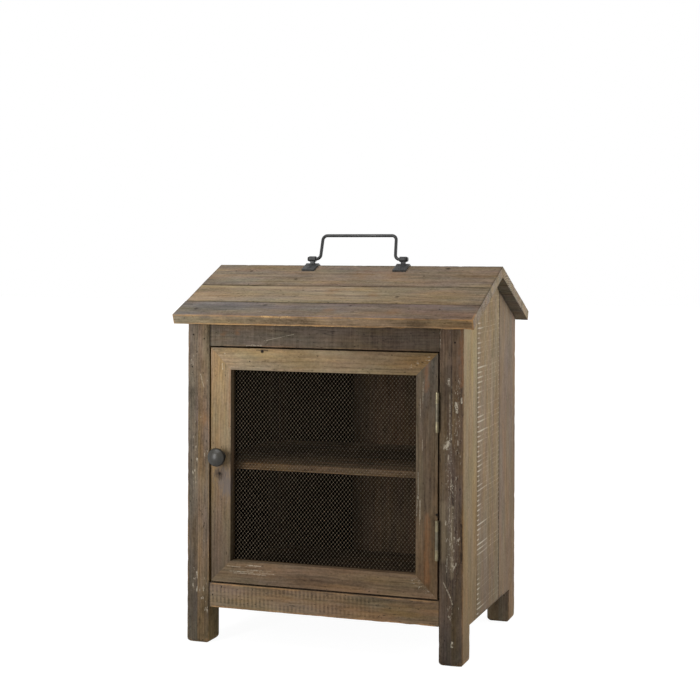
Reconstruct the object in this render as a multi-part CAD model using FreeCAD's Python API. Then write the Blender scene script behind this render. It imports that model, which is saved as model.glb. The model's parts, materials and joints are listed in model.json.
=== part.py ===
import FreeCAD, Part
import math
import os

# Meat safe: a gabled pine box on legs, with a wire-mesh door, a shelf and a carrying bail.
# Millimetres. X runs across the front, Y from front to back, Z up from the floor.
# The origin is on the floor under the middle of the ridge.

V = FreeCAD.Vector

# Carcass
BODY_W = 434.0            # across the outer faces of the two sides
BODY_D = 322.0            # front of the posts to the back
WALL_H = 490.0            # floor to the roof's underside, at the front and at the back
SIDE_T = 17.0             # thickness of the side planks
FRONT_PLANK_W = 79.0      # foremost plank of each side
REAR_PLANK_W = 109.0      # rearmost plank of each side
SIDE_CLEAR = 53.0         # floor to the lower edge of the sides
POST_W = 19.0             # posts, standing against the inner face of the sides
LEG_D = 38.0              # depth of the posts and of the legs cut on the sides
RAIL_T = 18.0             # thickness of all four rails
RAIL_Z = 56.0             # floor to the lower edge of the bottom rails
BOTTOM_RAIL_H = 37.0
TOP_RAIL_H = 38.5         # height of the top rails at the front and back faces
BACK_T = 8.0              # back boards
BACK_BOARDS = 3

# Floor, shelf and the cleats under them
FLOOR_T = 12.0
FLOOR_BOARDS = 2
SHELF_T = 10.0
SHELF_BOARDS = 2
SHELF_RISE = 180.5        # floor boards' top to the shelf's top
SHELF_SETBACK = 27.0      # front face of the posts to the shelf's front edge
CLEAT_W = 12.0
CLEAT_H = 15.0
POST_GAP = 0.5            # play of the floor and the shelf round the posts

# Roof
ROOF_PITCH = 22.5         # degrees
ROOF_T = 15.5
EAVE_OVERHANG = 19.0      # beyond the front and back faces, at the roof's top surface
GABLE_OVERHANG = 18.0     # beyond each side
RIDGE_BOARD_W = 81.0      # along the slope, ridge to first joint
EAVE_BOARD_W = 51.0       # along the slope, second joint to eave

# Door
DOOR_T = 18.0
DOOR_GAP = 2.2            # all round, between the door and its opening
DOOR_MEMBER_W = 33.0      # face width of stiles and rails
REBATE_W = 8.0            # rebate behind the members for the mesh and its beads
MESH_SETBACK = 12.0       # door's front face to the mesh
MESH_T = 0.8
MESH_STRAND = 2.4
MESH_COLUMNS = 11
MESH_ROWS = 12

# Knob and its screw
KNOB_RISE = 190.0         # door's lower edge to the knob's axis
KNOB_D = 28.0
KNOB_REACH = 25.0         # door's face to the front of the knob
KNOB_BASE_D = 17.0
KNOB_BASE_T = 1.8
KNOB_NECK_D = 11.0
KNOB_NECK_L = 9.0         # base and neck together
KNOB_RIM_R = 5.0          # roll of the head's rim
KNOB_RIM_RISE = 7.0       # neck's end to the head's widest place
KNOB_UNDERCUT = -70.0     # degrees, where the rim's roll ends under the head
KNOB_SCREW_D = 4.0
KNOB_SCREW_BITE = 10.0    # length of thread inside the knob
KNOB_SCREW_HEAD_D = 7.5
KNOB_SCREW_HEAD_H = 2.4

# Hinges
HINGE_L = 56.0
HINGE_INSET = 57.0        # door's upper or lower edge to the near end of the hinge
BARREL_D = 5.2
HINGE_PIN_D = 2.6
HINGE_PROUD = 3.0         # pin's axis in front of the door's face
LEAF_T = 0.9
LEAF_W = 17.0             # pin's axis to the leaf's rear edge
END_KNUCKLE_L = 14.6
PIN_HEAD_D = 4.4
PIN_HEAD_H = 0.8
HINGE_SCREW_INSET = 14.0  # leaf's end to the nearest screw
HINGE_SCREW_L = 13.0

# Countersunk wood screws of the hinges, the catch and the strike plate
WOOD_SCREW_D = 2.6
WOOD_SCREW_HEAD_D = 4.6
WOOD_SCREW_HEAD_H = 0.9

# Magnetic catch on the left front post, and its strike plate on the door
CATCH_ABOVE_KNOB = 30.0
CATCH_W = 12.0
CATCH_D = 18.0
CATCH_H = 36.0
CATCH_SCREW_SPAN = 24.0
CATCH_SCREW_L = 22.0
STRIKE_W = 10.0
STRIKE_H = 30.0
STRIKE_T = 1.2
STRIKE_SCREW_L = 10.0

# Bail handle, its eyes and saddles
EYE_RISE = 10.0           # ridge to the eyes' axis
EYE_D = 8.6
EYE_L = 11.0
EYE_NECK_W = 7.0
EYE_NECK_T = 5.0
EYE_TENON_D = 4.0
SADDLE_W = 21.0
SADDLE_T = 3.0
SADDLE_FLAP = 24.0        # down each slope from the ridge
SADDLE_SCREW_S = 16.0     # down each slope from the ridge
SADDLE_SCREW_D = 3.5
SADDLE_SCREW_HEAD_D = 7.0
SADDLE_SCREW_HEAD_H = 1.8
SADDLE_SCREW_L = 15.0
BAIL_D = 4.6
BAIL_RISE = 38.0          # eyes' axis to the middle of the grip
BAIL_LEG_SPAN = 125.0     # between the legs at the eyes' height
BAIL_LEG_TAPER = 1.4      # each leg leans in by this much at the grip
BAIL_FOOT_R = 6.0         # bend from the leg out to the eye
BAIL_FOOT_PLAY = 1.5      # end of that bend to the eye
BAIL_GRIP_R = 8.0         # bend from the leg to the grip
BAIL_LEAN = 15.0          # degrees, towards the back
BAIL_END_D = 6.8          # peened end, outside the eye
BAIL_END_L = 1.6
BAIL_END_PLAY = 0.6

# Clearances
RUN = 0.05                # radial, pins and screws in their holes
BAIL_RUN = 0.08           # radial, bail in its eyes
KNUCKLE_GAP = 0.3         # between neighbouring knuckles
CATCH_GAP = 0.3           # strike plate to catch, door shut
OVER = 1.0                # how far a cutting tool runs past what it cuts

# Places that follow from the sizes above
PITCH = math.radians(ROOF_PITCH)
FRONT = -BODY_D / 2
BACK = BODY_D / 2
INNER_X = BODY_W / 2 - SIDE_T
OPENING_X = INNER_X - POST_W
OPENING_Z0 = RAIL_Z + BOTTOM_RAIL_H
OPENING_Z1 = WALL_H - TOP_RAIL_H
BACK_FACE = BACK - BACK_T
FLOOR_TOP = OPENING_Z0
SHELF_TOP = FLOOR_TOP + SHELF_RISE
RIDGE_Z = WALL_H + BODY_D / 2 * math.tan(PITCH) + ROOF_T / math.cos(PITCH)
SLOPE_L = (BODY_D / 2 + EAVE_OVERHANG) / math.cos(PITCH)
ROOF_X = BODY_W / 2 + GABLE_OVERHANG

DOOR_X = OPENING_X - DOOR_GAP
DOOR_Z0 = OPENING_Z0 + DOOR_GAP
DOOR_Z1 = OPENING_Z1 - DOOR_GAP
DOOR_BACK = FRONT + DOOR_T
LIGHT_X = DOOR_X - DOOR_MEMBER_W
LIGHT_Z0 = DOOR_Z0 + DOOR_MEMBER_W
LIGHT_Z1 = DOOR_Z1 - DOOR_MEMBER_W
MESH_FRONT = FRONT + MESH_SETBACK

KNOB_X = -DOOR_X + DOOR_MEMBER_W / 2
KNOB_Z = DOOR_Z0 + KNOB_RISE
HINGE_X = OPENING_X - BARREL_D / 2
HINGE_Y = FRONT - HINGE_PROUD
HINGE_FEET = {"lower": DOOR_Z0 + HINGE_INSET, "upper": DOOR_Z1 - HINGE_INSET - HINGE_L}
CATCH_Z = KNOB_Z + CATCH_ABOVE_KNOB
CATCH_FRONT = DOOR_BACK + STRIKE_T + CATCH_GAP
STRIKE_X = -OPENING_X + CATCH_W / 2 + DOOR_GAP
EYE_Z = RIDGE_Z + EYE_RISE
EYE_SPAN = BAIL_LEG_SPAN + 2 * (BAIL_FOOT_R + BAIL_FOOT_PLAY) + EYE_L
SADDLE_RISE = SADDLE_T / math.cos(PITCH)


def block(x0, x1, y0, y1, z0, z1):
    """A block between two corners."""
    return Part.makeBox(x1 - x0, y1 - y0, z1 - z0, V(x0, y0, z0))


def polygon(points):
    """A flat face with straight edges."""
    return Part.Face(Part.makePolygon(points + points[:1]))


def along_x(outline, x0, x1):
    """An outline of (y, z) points, drawn out from x0 to x1."""
    return polygon([V(x0, y, z) for y, z in outline]).extrude(V(x1 - x0, 0, 0))


def along_y(outline, y0, y1):
    """An outline of (x, z) points, drawn out from y0 to y1."""
    return polygon([V(x, y0, z) for x, z in outline]).extrude(V(0, y1 - y0, 0))


def rod(diameter, start, direction, length):
    """A round bar, or the tool for a round hole."""
    return Part.makeCylinder(diameter / 2, length, start, direction)


def turned(edges, seat, out):
    """A piece turned from edges in the (x, z) plane, its +Z set along out from its seat."""
    solid = Part.Face(Part.Wire(edges)).revolve(V(0, 0, 0), V(0, 0, 1), 360)
    solid.Placement = FreeCAD.Placement(seat, FreeCAD.Rotation(V(0, 0, 1), out))
    return solid


def lines(points):
    """Straight edges through (radius, height) points of a turned profile."""
    corners = [V(r, 0, z) for r, z in points]
    return [Part.LineSegment(a, b).toShape() for a, b in zip(corners, corners[1:])]


def arc(centre, radius, start, end):
    """A round edge of a turned profile, about a (radius, height) centre, between two angles."""
    angles = [math.radians(angle) for angle in (start, (start + end) / 2, end)]
    r, z = centre
    return Part.Arc(*[V(r + radius * math.cos(t), 0, z + radius * math.sin(t)) for t in angles]).toShape()


def countersunk_screw(seat, out, length, play=0.0):
    """A flat-headed wood screw, its head's face at seat; with play, the tool for its hole."""
    shank = WOOD_SCREW_D / 2 + play
    head = WOOD_SCREW_HEAD_D / 2 + play
    tip = -length - play
    profile = [(0, tip), (shank, tip), (shank, -WOOD_SCREW_HEAD_H), (head, 0), (0, 0), (0, tip)]
    return turned(lines(profile), seat, out)


def round_screw(seat, out, diameter, length, head_d, head_h):
    """A round-headed screw, the underside of its domed head on seat."""
    dome_r = (head_d ** 2 / 4 + head_h ** 2) / (2 * head_h)
    rim_angle = math.degrees(math.acos(head_d / 2 / dome_r))
    shank = [(0, head_h), (0, -length), (diameter / 2, -length), (diameter / 2, 0), (head_d / 2, 0)]
    dome = arc((0, head_h - dome_r), dome_r, rim_angle, 90)
    return turned(lines(shank) + [dome], seat, out)


def roof_underside(y):
    """Height of the roof's underside at depth y."""
    return WALL_H + (BODY_D / 2 - abs(y)) * math.tan(PITCH)


def to_the_roof(x0, x1, y0, y1, z0):
    """An upright board from z0 to the roof, its top cut to the pitch."""
    top = [(y1, roof_underside(y1)), (y0, roof_underside(y0))]
    if y0 < 0 < y1:
        top.insert(1, (0, roof_underside(0)))
    return along_x([(y0, z0), (y1, z0)] + top, x0, x1)


def side_plank(side, y0, y1):
    """A plank of the left (-1) or right (1) side, with the part over a leg running to the floor."""
    x0, x1 = sorted((side * INNER_X, side * BODY_W / 2))
    toe_space = block(x0 - OVER, x1 + OVER, FRONT + LEG_D, BACK - LEG_D, -OVER, SIDE_CLEAR)
    return to_the_roof(x0, x1, y0, y1, 0).cut(toe_space)


def post(side, end, play=0.0):
    """A post at the front (-1) or back (1); with play, the room that boards leave round it."""
    x0, x1 = sorted((side * (OPENING_X - play), side * INNER_X))
    y0, y1 = sorted((end * BODY_D / 2, end * (BODY_D / 2 - LEG_D - play)))
    return to_the_roof(x0, x1, y0, y1, 0)


def lying_board(y0, y1, top, thickness):
    """A floor or shelf board, notched round the posts."""
    board = block(-INNER_X, INNER_X, y0, y1, top - thickness, top)
    posts = [post(side, end, POST_GAP) for side in (-1, 1) for end in (-1, 1)]
    return board.cut(posts)


def lying_boards(name, count, y0, y1, top, thickness):
    """Boards of one width, laid edge to edge from front to back."""
    width = (y1 - y0) / count
    return {f"{name}_{i + 1}": lying_board(y0 + i * width, y0 + (i + 1) * width, top, thickness)
            for i in range(count)}


def cleat(side, top):
    """A cleat under a board, on the side and between its posts."""
    x0, x1 = sorted((side * INNER_X, side * (INNER_X - CLEAT_W)))
    return block(x0, x1, FRONT + LEG_D, BACK - LEG_D, top - CLEAT_H, top)


def carcass():
    """Sides, posts, rails, back, floor, shelf and cleats."""
    pieces = {}
    plank_edges = [FRONT, FRONT + FRONT_PLANK_W, BACK - REAR_PLANK_W, BACK]
    plank_places = zip(("front", "middle", "rear"), plank_edges, plank_edges[1:])
    for place, y0, y1 in plank_places:
        for name, side in (("left", -1), ("right", 1)):
            pieces[f"{name}_side_{place}_plank"] = side_plank(side, y0, y1)
    for name, side in (("left", -1), ("right", 1)):
        pieces[f"{name}_front_post"] = post(side, -1)
        pieces[f"{name}_rear_post"] = post(side, 1)
        pieces[f"{name}_floor_cleat"] = cleat(side, FLOOR_TOP - FLOOR_T)
        pieces[f"{name}_shelf_cleat"] = cleat(side, SHELF_TOP - SHELF_T)
    pieces["right_front_post"] = pieces["right_front_post"].cut(hinge_screws(OPENING_X - LEAF_T, -1, RUN))
    pieces["left_front_post"] = pieces["left_front_post"].cut(catch_screws(RUN))
    rail_back = FRONT + RAIL_T
    rear_rail_front = BACK_FACE - RAIL_T
    across = (-OPENING_X, OPENING_X)
    pieces["front_bottom_rail"] = block(*across, FRONT, rail_back, RAIL_Z, OPENING_Z0)
    pieces["front_top_rail"] = to_the_roof(*across, FRONT, rail_back, OPENING_Z1)
    pieces["rear_bottom_rail"] = block(
        *across, rear_rail_front, BACK_FACE, RAIL_Z, FLOOR_TOP - FLOOR_T)
    pieces["rear_top_rail"] = to_the_roof(*across, rear_rail_front, BACK_FACE, OPENING_Z1)
    back_w = 2 * OPENING_X / BACK_BOARDS
    for i in range(BACK_BOARDS):
        x0 = -OPENING_X + i * back_w
        pieces[f"back_board_{i + 1}"] = to_the_roof(x0, x0 + back_w, BACK_FACE, BACK, RAIL_Z)
    pieces.update(lying_boards("floor_board", FLOOR_BOARDS, rail_back, BACK_FACE, FLOOR_TOP, FLOOR_T))
    pieces.update(lying_boards(
        "shelf_board", SHELF_BOARDS, FRONT + SHELF_SETBACK, BACK_FACE, SHELF_TOP, SHELF_T))
    return pieces


def on_slope(end, s, depth):
    """(y, z) of a point s down the front (-1) or back (1) slope and depth below its surface."""
    y = s * math.cos(PITCH) - depth * math.sin(PITCH)
    return (end * y, RIDGE_Z - s * math.sin(PITCH) - depth * math.cos(PITCH))


def slope_normal(end):
    """The direction square to a slope, out of the roof."""
    return V(0, end * math.sin(PITCH), math.cos(PITCH))


def roof_board(end, s0, s1):
    """A board across the roof, from s0 to s1 down the slope; the first is cut plumb at the ridge."""
    lower_s0 = s0 if s0 else ROOF_T * math.tan(PITCH)
    outline = [on_slope(end, s0, 0), on_slope(end, s1, 0)]
    outline += [on_slope(end, s1, ROOF_T), on_slope(end, lower_s0, ROOF_T)]
    return along_x(outline, -ROOF_X, ROOF_X)


def saddle_screw_seats(end):
    """Where the saddle screws' heads sit on one slope's flaps."""
    y, z = on_slope(end, SADDLE_SCREW_S, -SADDLE_T)
    return [V(side * EYE_SPAN / 2, y, z) for side in (-1, 1)]


def saddle_screw_holes(end):
    """Tools for the saddle screws' holes on one slope."""
    into = slope_normal(end) * -1
    length = SADDLE_SCREW_L + 2 * RUN
    return [rod(SADDLE_SCREW_D + 2 * RUN, seat, into, length) for seat in saddle_screw_seats(end)]


def roof():
    """Three boards on each slope."""
    pieces = {}
    edges = [0.0, RIDGE_BOARD_W, SLOPE_L - EAVE_BOARD_W, SLOPE_L]
    for name, end in (("front", -1), ("rear", 1)):
        for place, s0, s1 in zip(("ridge", "middle", "eave"), edges, edges[1:]):
            board = roof_board(end, s0, s1)
            if place == "ridge":
                board = board.cut(saddle_screw_holes(end))
            pieces[f"{name}_roof_{place}_board"] = board
    return pieces


def mitred(x0, x1, z0, z1, width, y0, y1):
    """Four mitred bars round a rectangle: left, right, top and bottom."""
    outer = {"a": (x0, z0), "b": (x1, z0), "c": (x1, z1), "d": (x0, z1)}
    inner = {"a": (x0 + width, z0 + width), "b": (x1 - width, z0 + width),
             "c": (x1 - width, z1 - width), "d": (x0 + width, z1 - width)}
    corners = {"left": "ad", "right": "bc", "top": "dc", "bottom": "ab"}
    return {place: along_y([outer[p], outer[q], inner[q], inner[p]], y0, y1)
            for place, (p, q) in corners.items()}


def wire_mesh():
    """The mesh as one thin sheet with diamond gaps, whole ones inside and half ones at the edges."""
    pitch_x = 2 * LIGHT_X / MESH_COLUMNS
    pitch_z = (LIGHT_Z1 - LIGHT_Z0) / MESH_ROWS
    half_strand = MESH_STRAND / 2
    shrink = 1 - half_strand * math.hypot(1 / (pitch_x / 2), 1 / (pitch_z / 2))
    reach_x = shrink * pitch_x / 2
    reach_z = shrink * pitch_z / 2
    sheet_x = LIGHT_X + REBATE_W - POST_GAP
    sheet_z0 = LIGHT_Z0 - REBATE_W + POST_GAP
    sheet_z1 = LIGHT_Z1 + REBATE_W - POST_GAP

    def wire(points):
        corners = [V(x, MESH_FRONT, z) for x, z in points]
        return Part.makePolygon(corners + corners[:1])

    def gap(x, z):
        tips = [(x + reach_x, z), (x, z - reach_z), (x - reach_x, z), (x, z + reach_z)]
        inside = [(tx, tz) for tx, tz in tips
                  if abs(tx) < LIGHT_X + half_strand and LIGHT_Z0 - half_strand < tz < LIGHT_Z1 + half_strand]
        return wire(inside)

    gaps = [gap(-LIGHT_X + (i + 0.5) * pitch_x, LIGHT_Z0 + (j + 0.5) * pitch_z)
            for i in range(MESH_COLUMNS) for j in range(MESH_ROWS)]
    corners = [(i, j) for i in (0, MESH_COLUMNS) for j in (0, MESH_ROWS)]
    gaps += [gap(-LIGHT_X + i * pitch_x, LIGHT_Z0 + j * pitch_z)
             for i in range(MESH_COLUMNS + 1) for j in range(MESH_ROWS + 1) if (i, j) not in corners]
    outer = wire([(-sheet_x, sheet_z0), (sheet_x, sheet_z0), (sheet_x, sheet_z1), (-sheet_x, sheet_z1)])
    return Part.Face([outer] + gaps).extrude(V(0, MESH_T, 0))


def knob():
    """A turned knob with a domed face and a rolled rim, drilled for its screw."""
    base = KNOB_BASE_D / 2
    neck = KNOB_NECK_D / 2
    rim = (KNOB_D / 2 - KNOB_RIM_R, KNOB_NECK_L + KNOB_RIM_RISE)
    inner_top = KNOB_REACH - KNOB_RIM_R
    dome_z = (inner_top ** 2 - rim[0] ** 2 - rim[1] ** 2) / (2 * (inner_top - rim[1]))
    dome_angle = math.degrees(math.atan2(rim[1] - dome_z, rim[0]))
    crown = arc((0, dome_z), KNOB_REACH - dome_z, dome_angle, 90)
    rolled = arc(rim, KNOB_RIM_R, KNOB_UNDERCUT, dome_angle)
    lip = rolled.Vertexes[0].Point
    foot = [(0, KNOB_REACH), (0, 0), (base, 0), (base, KNOB_BASE_T), (neck, KNOB_NECK_L / 2)]
    foot += [(neck, KNOB_NECK_L), (lip.x, lip.z)]
    shape = turned(lines(foot) + [rolled, crown], V(KNOB_X, FRONT, KNOB_Z), V(0, -1, 0))
    return shape.cut(knob_screw_hole())


def knob_screw_hole():
    """The tool for the knob screw's hole, through the stile and into the knob."""
    seat = V(KNOB_X, DOOR_BACK, KNOB_Z)
    return rod(KNOB_SCREW_D + 2 * RUN, seat, V(0, -1, 0), DOOR_T + KNOB_SCREW_BITE + RUN)


def hinge_screw_heights():
    """Heights of all the hinge screws: two a leaf."""
    offsets = (HINGE_SCREW_INSET, HINGE_L - HINGE_SCREW_INSET)
    return [foot + offset for foot in HINGE_FEET.values() for offset in offsets]


def hinge_screws(face_x, out, play=0.0):
    """The hinge screws of one leaf of each hinge, from the leaf's bare face; or their holes."""
    y = HINGE_Y + (HINGE_PROUD + LEAF_W) / 2
    return [countersunk_screw(V(face_x, y, z), V(out, 0, 0), HINGE_SCREW_L, play)
            for z in hinge_screw_heights()]


def hinge_leaf(foot, x0, x1, knuckles, others, holes):
    """A leaf between x0 and x1 with its own knuckles, cut clear of the other leaf's knuckles."""
    top = foot + HINGE_L
    leaf = block(x0, x1, HINGE_Y, HINGE_Y + LEAF_W, foot, top)
    for z0, z1 in others:
        room = rod(BARREL_D + 2 * KNUCKLE_GAP, V(HINGE_X, HINGE_Y, z0 - KNUCKLE_GAP), V(0, 0, 1),
                   z1 - z0 + 2 * KNUCKLE_GAP)
        leaf = leaf.cut(room)
    barrel = [rod(BARREL_D, V(HINGE_X, HINGE_Y, z0), V(0, 0, 1), z1 - z0) for z0, z1 in knuckles]
    bore = rod(HINGE_PIN_D + 2 * RUN, V(HINGE_X, HINGE_Y, foot - OVER), V(0, 0, 1), HINGE_L + 2 * OVER)
    return leaf.fuse(barrel).removeSplitter().cut([bore] + holes)


def hinge(foot):
    """One butt hinge: the frame's leaf has the end knuckles, the door's leaf the middle one."""
    top = foot + HINGE_L
    ends = [(foot, foot + END_KNUCKLE_L), (top - END_KNUCKLE_L, top)]
    middle = [(foot + END_KNUCKLE_L + KNUCKLE_GAP, top - END_KNUCKLE_L - KNUCKLE_GAP)]
    frame_face = OPENING_X - LEAF_T
    door_face = DOOR_X + LEAF_T
    frame = hinge_leaf(foot, frame_face, OPENING_X, ends, middle, hinge_screws(frame_face, -1, RUN))
    door = hinge_leaf(foot, DOOR_X, door_face, middle, ends, hinge_screws(door_face, 1, RUN))
    return frame, door


def hinge_pin(foot):
    """A pin with a flat button at each end, resting on the end knuckles."""
    top = foot + HINGE_L
    pin = rod(HINGE_PIN_D, V(HINGE_X, HINGE_Y, foot - PIN_HEAD_H), V(0, 0, 1), HINGE_L + 2 * PIN_HEAD_H)
    heads = [rod(PIN_HEAD_D, V(HINGE_X, HINGE_Y, z), V(0, 0, 1), PIN_HEAD_H)
             for z in (foot - PIN_HEAD_H, top)]
    return pin.fuse(heads).removeSplitter()


def catch_screws(play=0.0):
    """The two screws that hold the catch to the post, or their holes."""
    face_x = -OPENING_X + CATCH_W
    y = CATCH_FRONT + CATCH_D / 2
    heights = (CATCH_Z - CATCH_SCREW_SPAN / 2, CATCH_Z + CATCH_SCREW_SPAN / 2)
    return [countersunk_screw(V(face_x, y, z), V(1, 0, 0), CATCH_SCREW_L, play) for z in heights]


def strike_screw(play=0.0):
    """The screw that holds the strike plate to the door, or its hole."""
    seat = V(STRIKE_X, DOOR_BACK + STRIKE_T, CATCH_Z)
    return countersunk_screw(seat, V(0, 1, 0), STRIKE_SCREW_L, play)


def fittings_on_the_carcass():
    """Frame leaves, pins, catch and the screws that hold them."""
    pieces = {}
    for name, foot in HINGE_FEET.items():
        pieces[f"{name}_hinge_frame_leaf"] = hinge(foot)[0]
    pieces["hinge_pins"] = Part.makeCompound([hinge_pin(foot) for foot in HINGE_FEET.values()])
    pieces["hinge_frame_screws"] = Part.makeCompound(hinge_screws(OPENING_X - LEAF_T, -1))
    catch = block(-OPENING_X, -OPENING_X + CATCH_W, CATCH_FRONT, CATCH_FRONT + CATCH_D,
                  CATCH_Z - CATCH_H / 2, CATCH_Z + CATCH_H / 2)
    pieces["catch_body"] = catch.cut(catch_screws(RUN))
    pieces["catch_screws"] = Part.makeCompound(catch_screws())
    return pieces


def door():
    """The mitred frame, its mesh and beads, door leaves, knob and strike plate."""
    frame = mitred(-DOOR_X, DOOR_X, DOOR_Z0, DOOR_Z1, DOOR_MEMBER_W, FRONT, DOOR_BACK)
    pocket_x = LIGHT_X + REBATE_W
    pocket_z = (LIGHT_Z0 - REBATE_W, LIGHT_Z1 + REBATE_W)
    pocket = block(-pocket_x, pocket_x, MESH_FRONT, DOOR_BACK + OVER, *pocket_z)
    beads = mitred(-pocket_x, pocket_x, *pocket_z, REBATE_W, MESH_FRONT + MESH_T, DOOR_BACK)
    kinds = {"left": "stile", "right": "stile", "top": "rail", "bottom": "rail"}
    pieces = {f"door_{place}_{kind}": frame[place].cut(pocket) for place, kind in kinds.items()}
    pieces.update({f"mesh_bead_{place}": beads[place] for place in kinds})
    door_face = DOOR_X + LEAF_T
    pieces["door_right_stile"] = pieces["door_right_stile"].cut(hinge_screws(door_face, 1, RUN))
    pieces["door_left_stile"] = pieces["door_left_stile"].cut([knob_screw_hole(), strike_screw(RUN)])
    pieces["door_mesh"] = wire_mesh()
    for name, foot in HINGE_FEET.items():
        pieces[f"{name}_hinge_door_leaf"] = hinge(foot)[1]
    pieces["hinge_door_screws"] = Part.makeCompound(hinge_screws(door_face, 1))
    pieces["door_knob"] = knob()
    pieces["knob_screw"] = round_screw(
        V(KNOB_X, DOOR_BACK, KNOB_Z), V(0, 1, 0), KNOB_SCREW_D, DOOR_T + KNOB_SCREW_BITE,
        KNOB_SCREW_HEAD_D, KNOB_SCREW_HEAD_H)
    strike = block(STRIKE_X - STRIKE_W / 2, STRIKE_X + STRIKE_W / 2, DOOR_BACK, DOOR_BACK + STRIKE_T,
                   CATCH_Z - STRIKE_H / 2, CATCH_Z + STRIKE_H / 2)
    pieces["strike_plate"] = strike.cut(strike_screw(RUN))
    pieces["strike_screw"] = strike_screw()
    return pieces


def rounded_path(points, radii):
    """A wire of straight runs through (x, z) points, with a tangent arc at each inner point."""
    corners = [V(x, 0, z) for x, z in points]
    edges = []
    start = corners[0]
    for before, corner, after, radius in zip(corners, corners[1:], corners[2:], radii):
        back = (before - corner).normalize()
        on = (after - corner).normalize()
        half_angle = back.getAngle(on) / 2
        reach = radius / math.tan(half_angle)
        middle = corner + (back + on).normalize() * (radius / math.sin(half_angle) - radius)
        edges.append(Part.LineSegment(start, corner + back * reach).toShape())
        edges.append(Part.Arc(corner + back * reach, middle, corner + on * reach).toShape())
        start = corner + on * reach
    edges.append(Part.LineSegment(start, corners[-1]).toShape())
    return Part.Wire(edges)


def bail():
    """A bent rod: peened end, eye, leg, grip, leg, eye, peened end."""
    end_x = EYE_SPAN / 2 + EYE_L / 2 + BAIL_END_PLAY
    leg_x = BAIL_LEG_SPAN / 2
    grip_x = leg_x - BAIL_LEG_TAPER
    grip_z = EYE_Z + BAIL_RISE
    points = [(-end_x, EYE_Z), (-leg_x, EYE_Z), (-grip_x, grip_z), (grip_x, grip_z)]
    points += [(leg_x, EYE_Z), (end_x, EYE_Z)]
    path = rounded_path(points, [BAIL_FOOT_R, BAIL_GRIP_R, BAIL_GRIP_R, BAIL_FOOT_R])
    section = Part.Wire(Part.makeCircle(BAIL_D / 2, V(-end_x, 0, EYE_Z), V(1, 0, 0)))
    bar = path.makePipeShell([section], True, False)
    ends = [rod(BAIL_END_D, V(side * end_x, 0, EYE_Z), V(side, 0, 0), BAIL_END_L) for side in (-1, 1)]
    handle = bar.fuse(ends)
    handle.rotate(V(0, 0, EYE_Z), V(1, 0, 0), -BAIL_LEAN)
    return handle


def saddle_plate(side):
    """A plate bent over the ridge, before it is drilled."""
    x = side * EYE_SPAN / 2
    outline = [on_slope(-1, SADDLE_FLAP, 0), (0, RIDGE_Z), on_slope(1, SADDLE_FLAP, 0)]
    outline += [on_slope(1, SADDLE_FLAP, -SADDLE_T), (0, RIDGE_Z + SADDLE_RISE)]
    outline += [on_slope(-1, SADDLE_FLAP, -SADDLE_T)]
    return along_x(outline, x - SADDLE_W / 2, x + SADDLE_W / 2)


def saddle(side):
    """The plate with a hole for the eye's tenon and one for each screw."""
    foot = V(side * EYE_SPAN / 2, 0, RIDGE_Z - OVER)
    tenon_hole = rod(EYE_TENON_D + 2 * RUN, foot, V(0, 0, 1), SADDLE_RISE + 2 * OVER)
    return saddle_plate(side).cut([tenon_hole] + saddle_screw_holes(-1) + saddle_screw_holes(1))


def eye(side):
    """The eye that a bail end turns in: a barrel on a neck seated over the saddle's fold."""
    x = side * EYE_SPAN / 2
    barrel = rod(EYE_D, V(x - EYE_L / 2, 0, EYE_Z), V(1, 0, 0), EYE_L)
    neck = block(x - EYE_NECK_W / 2, x + EYE_NECK_W / 2, -EYE_NECK_T / 2, EYE_NECK_T / 2, RIDGE_Z, EYE_Z)
    tenon = rod(EYE_TENON_D, V(x, 0, RIDGE_Z), V(0, 0, 1), SADDLE_RISE + OVER)
    bore = rod(BAIL_D + 2 * BAIL_RUN, V(x - EYE_L, 0, EYE_Z), V(1, 0, 0), 2 * EYE_L)
    return neck.cut(saddle_plate(side)).fuse([barrel, tenon]).removeSplitter().cut(bore)


def carrying_gear():
    """Saddles, eyes, saddle screws and the bail."""
    pieces = {}
    for name, side in (("left", -1), ("right", 1)):
        pieces[f"{name}_saddle"] = saddle(side)
        pieces[f"{name}_handle_eye"] = eye(side)
    pieces["saddle_screws"] = Part.makeCompound([
        round_screw(seat, slope_normal(end), SADDLE_SCREW_D, SADDLE_SCREW_L, SADDLE_SCREW_HEAD_D,
                    SADDLE_SCREW_HEAD_H)
        for end in (-1, 1) for seat in saddle_screw_seats(end)])
    pieces["bail_handle"] = bail()
    return pieces


os.makedirs("parts", exist_ok=True)
for build in (carcass, roof, fittings_on_the_carcass, door, carrying_gear):
    for node, shape in build().items():
        shape.exportStep(f"parts/{node}.step")
        print(node, len(shape.Solids), "solids", round(shape.Volume / 1000, 2), "cm3", shape.isValid())
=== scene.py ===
# %% [markdown]
# # A meat safe of old pine
# The safe is a gabled box of sawn boards with a wire-mesh door, two butt hinges, a knob and a carrying bail.
# Its construction is already a CAD model, so this lesson only dresses it. Every board is made again with worn
# edges and given timber of its own, the net is woven, and the fittings get their metal.
# The CAD box is loaded first.

# %% Load the construction
import json
import math
import random

import bmesh
import bpy
from mathutils import Matrix, Vector, noise
from mathutils.geometry import interpolate_bezier
from mathutils.bvhtree import BVHTree


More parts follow.
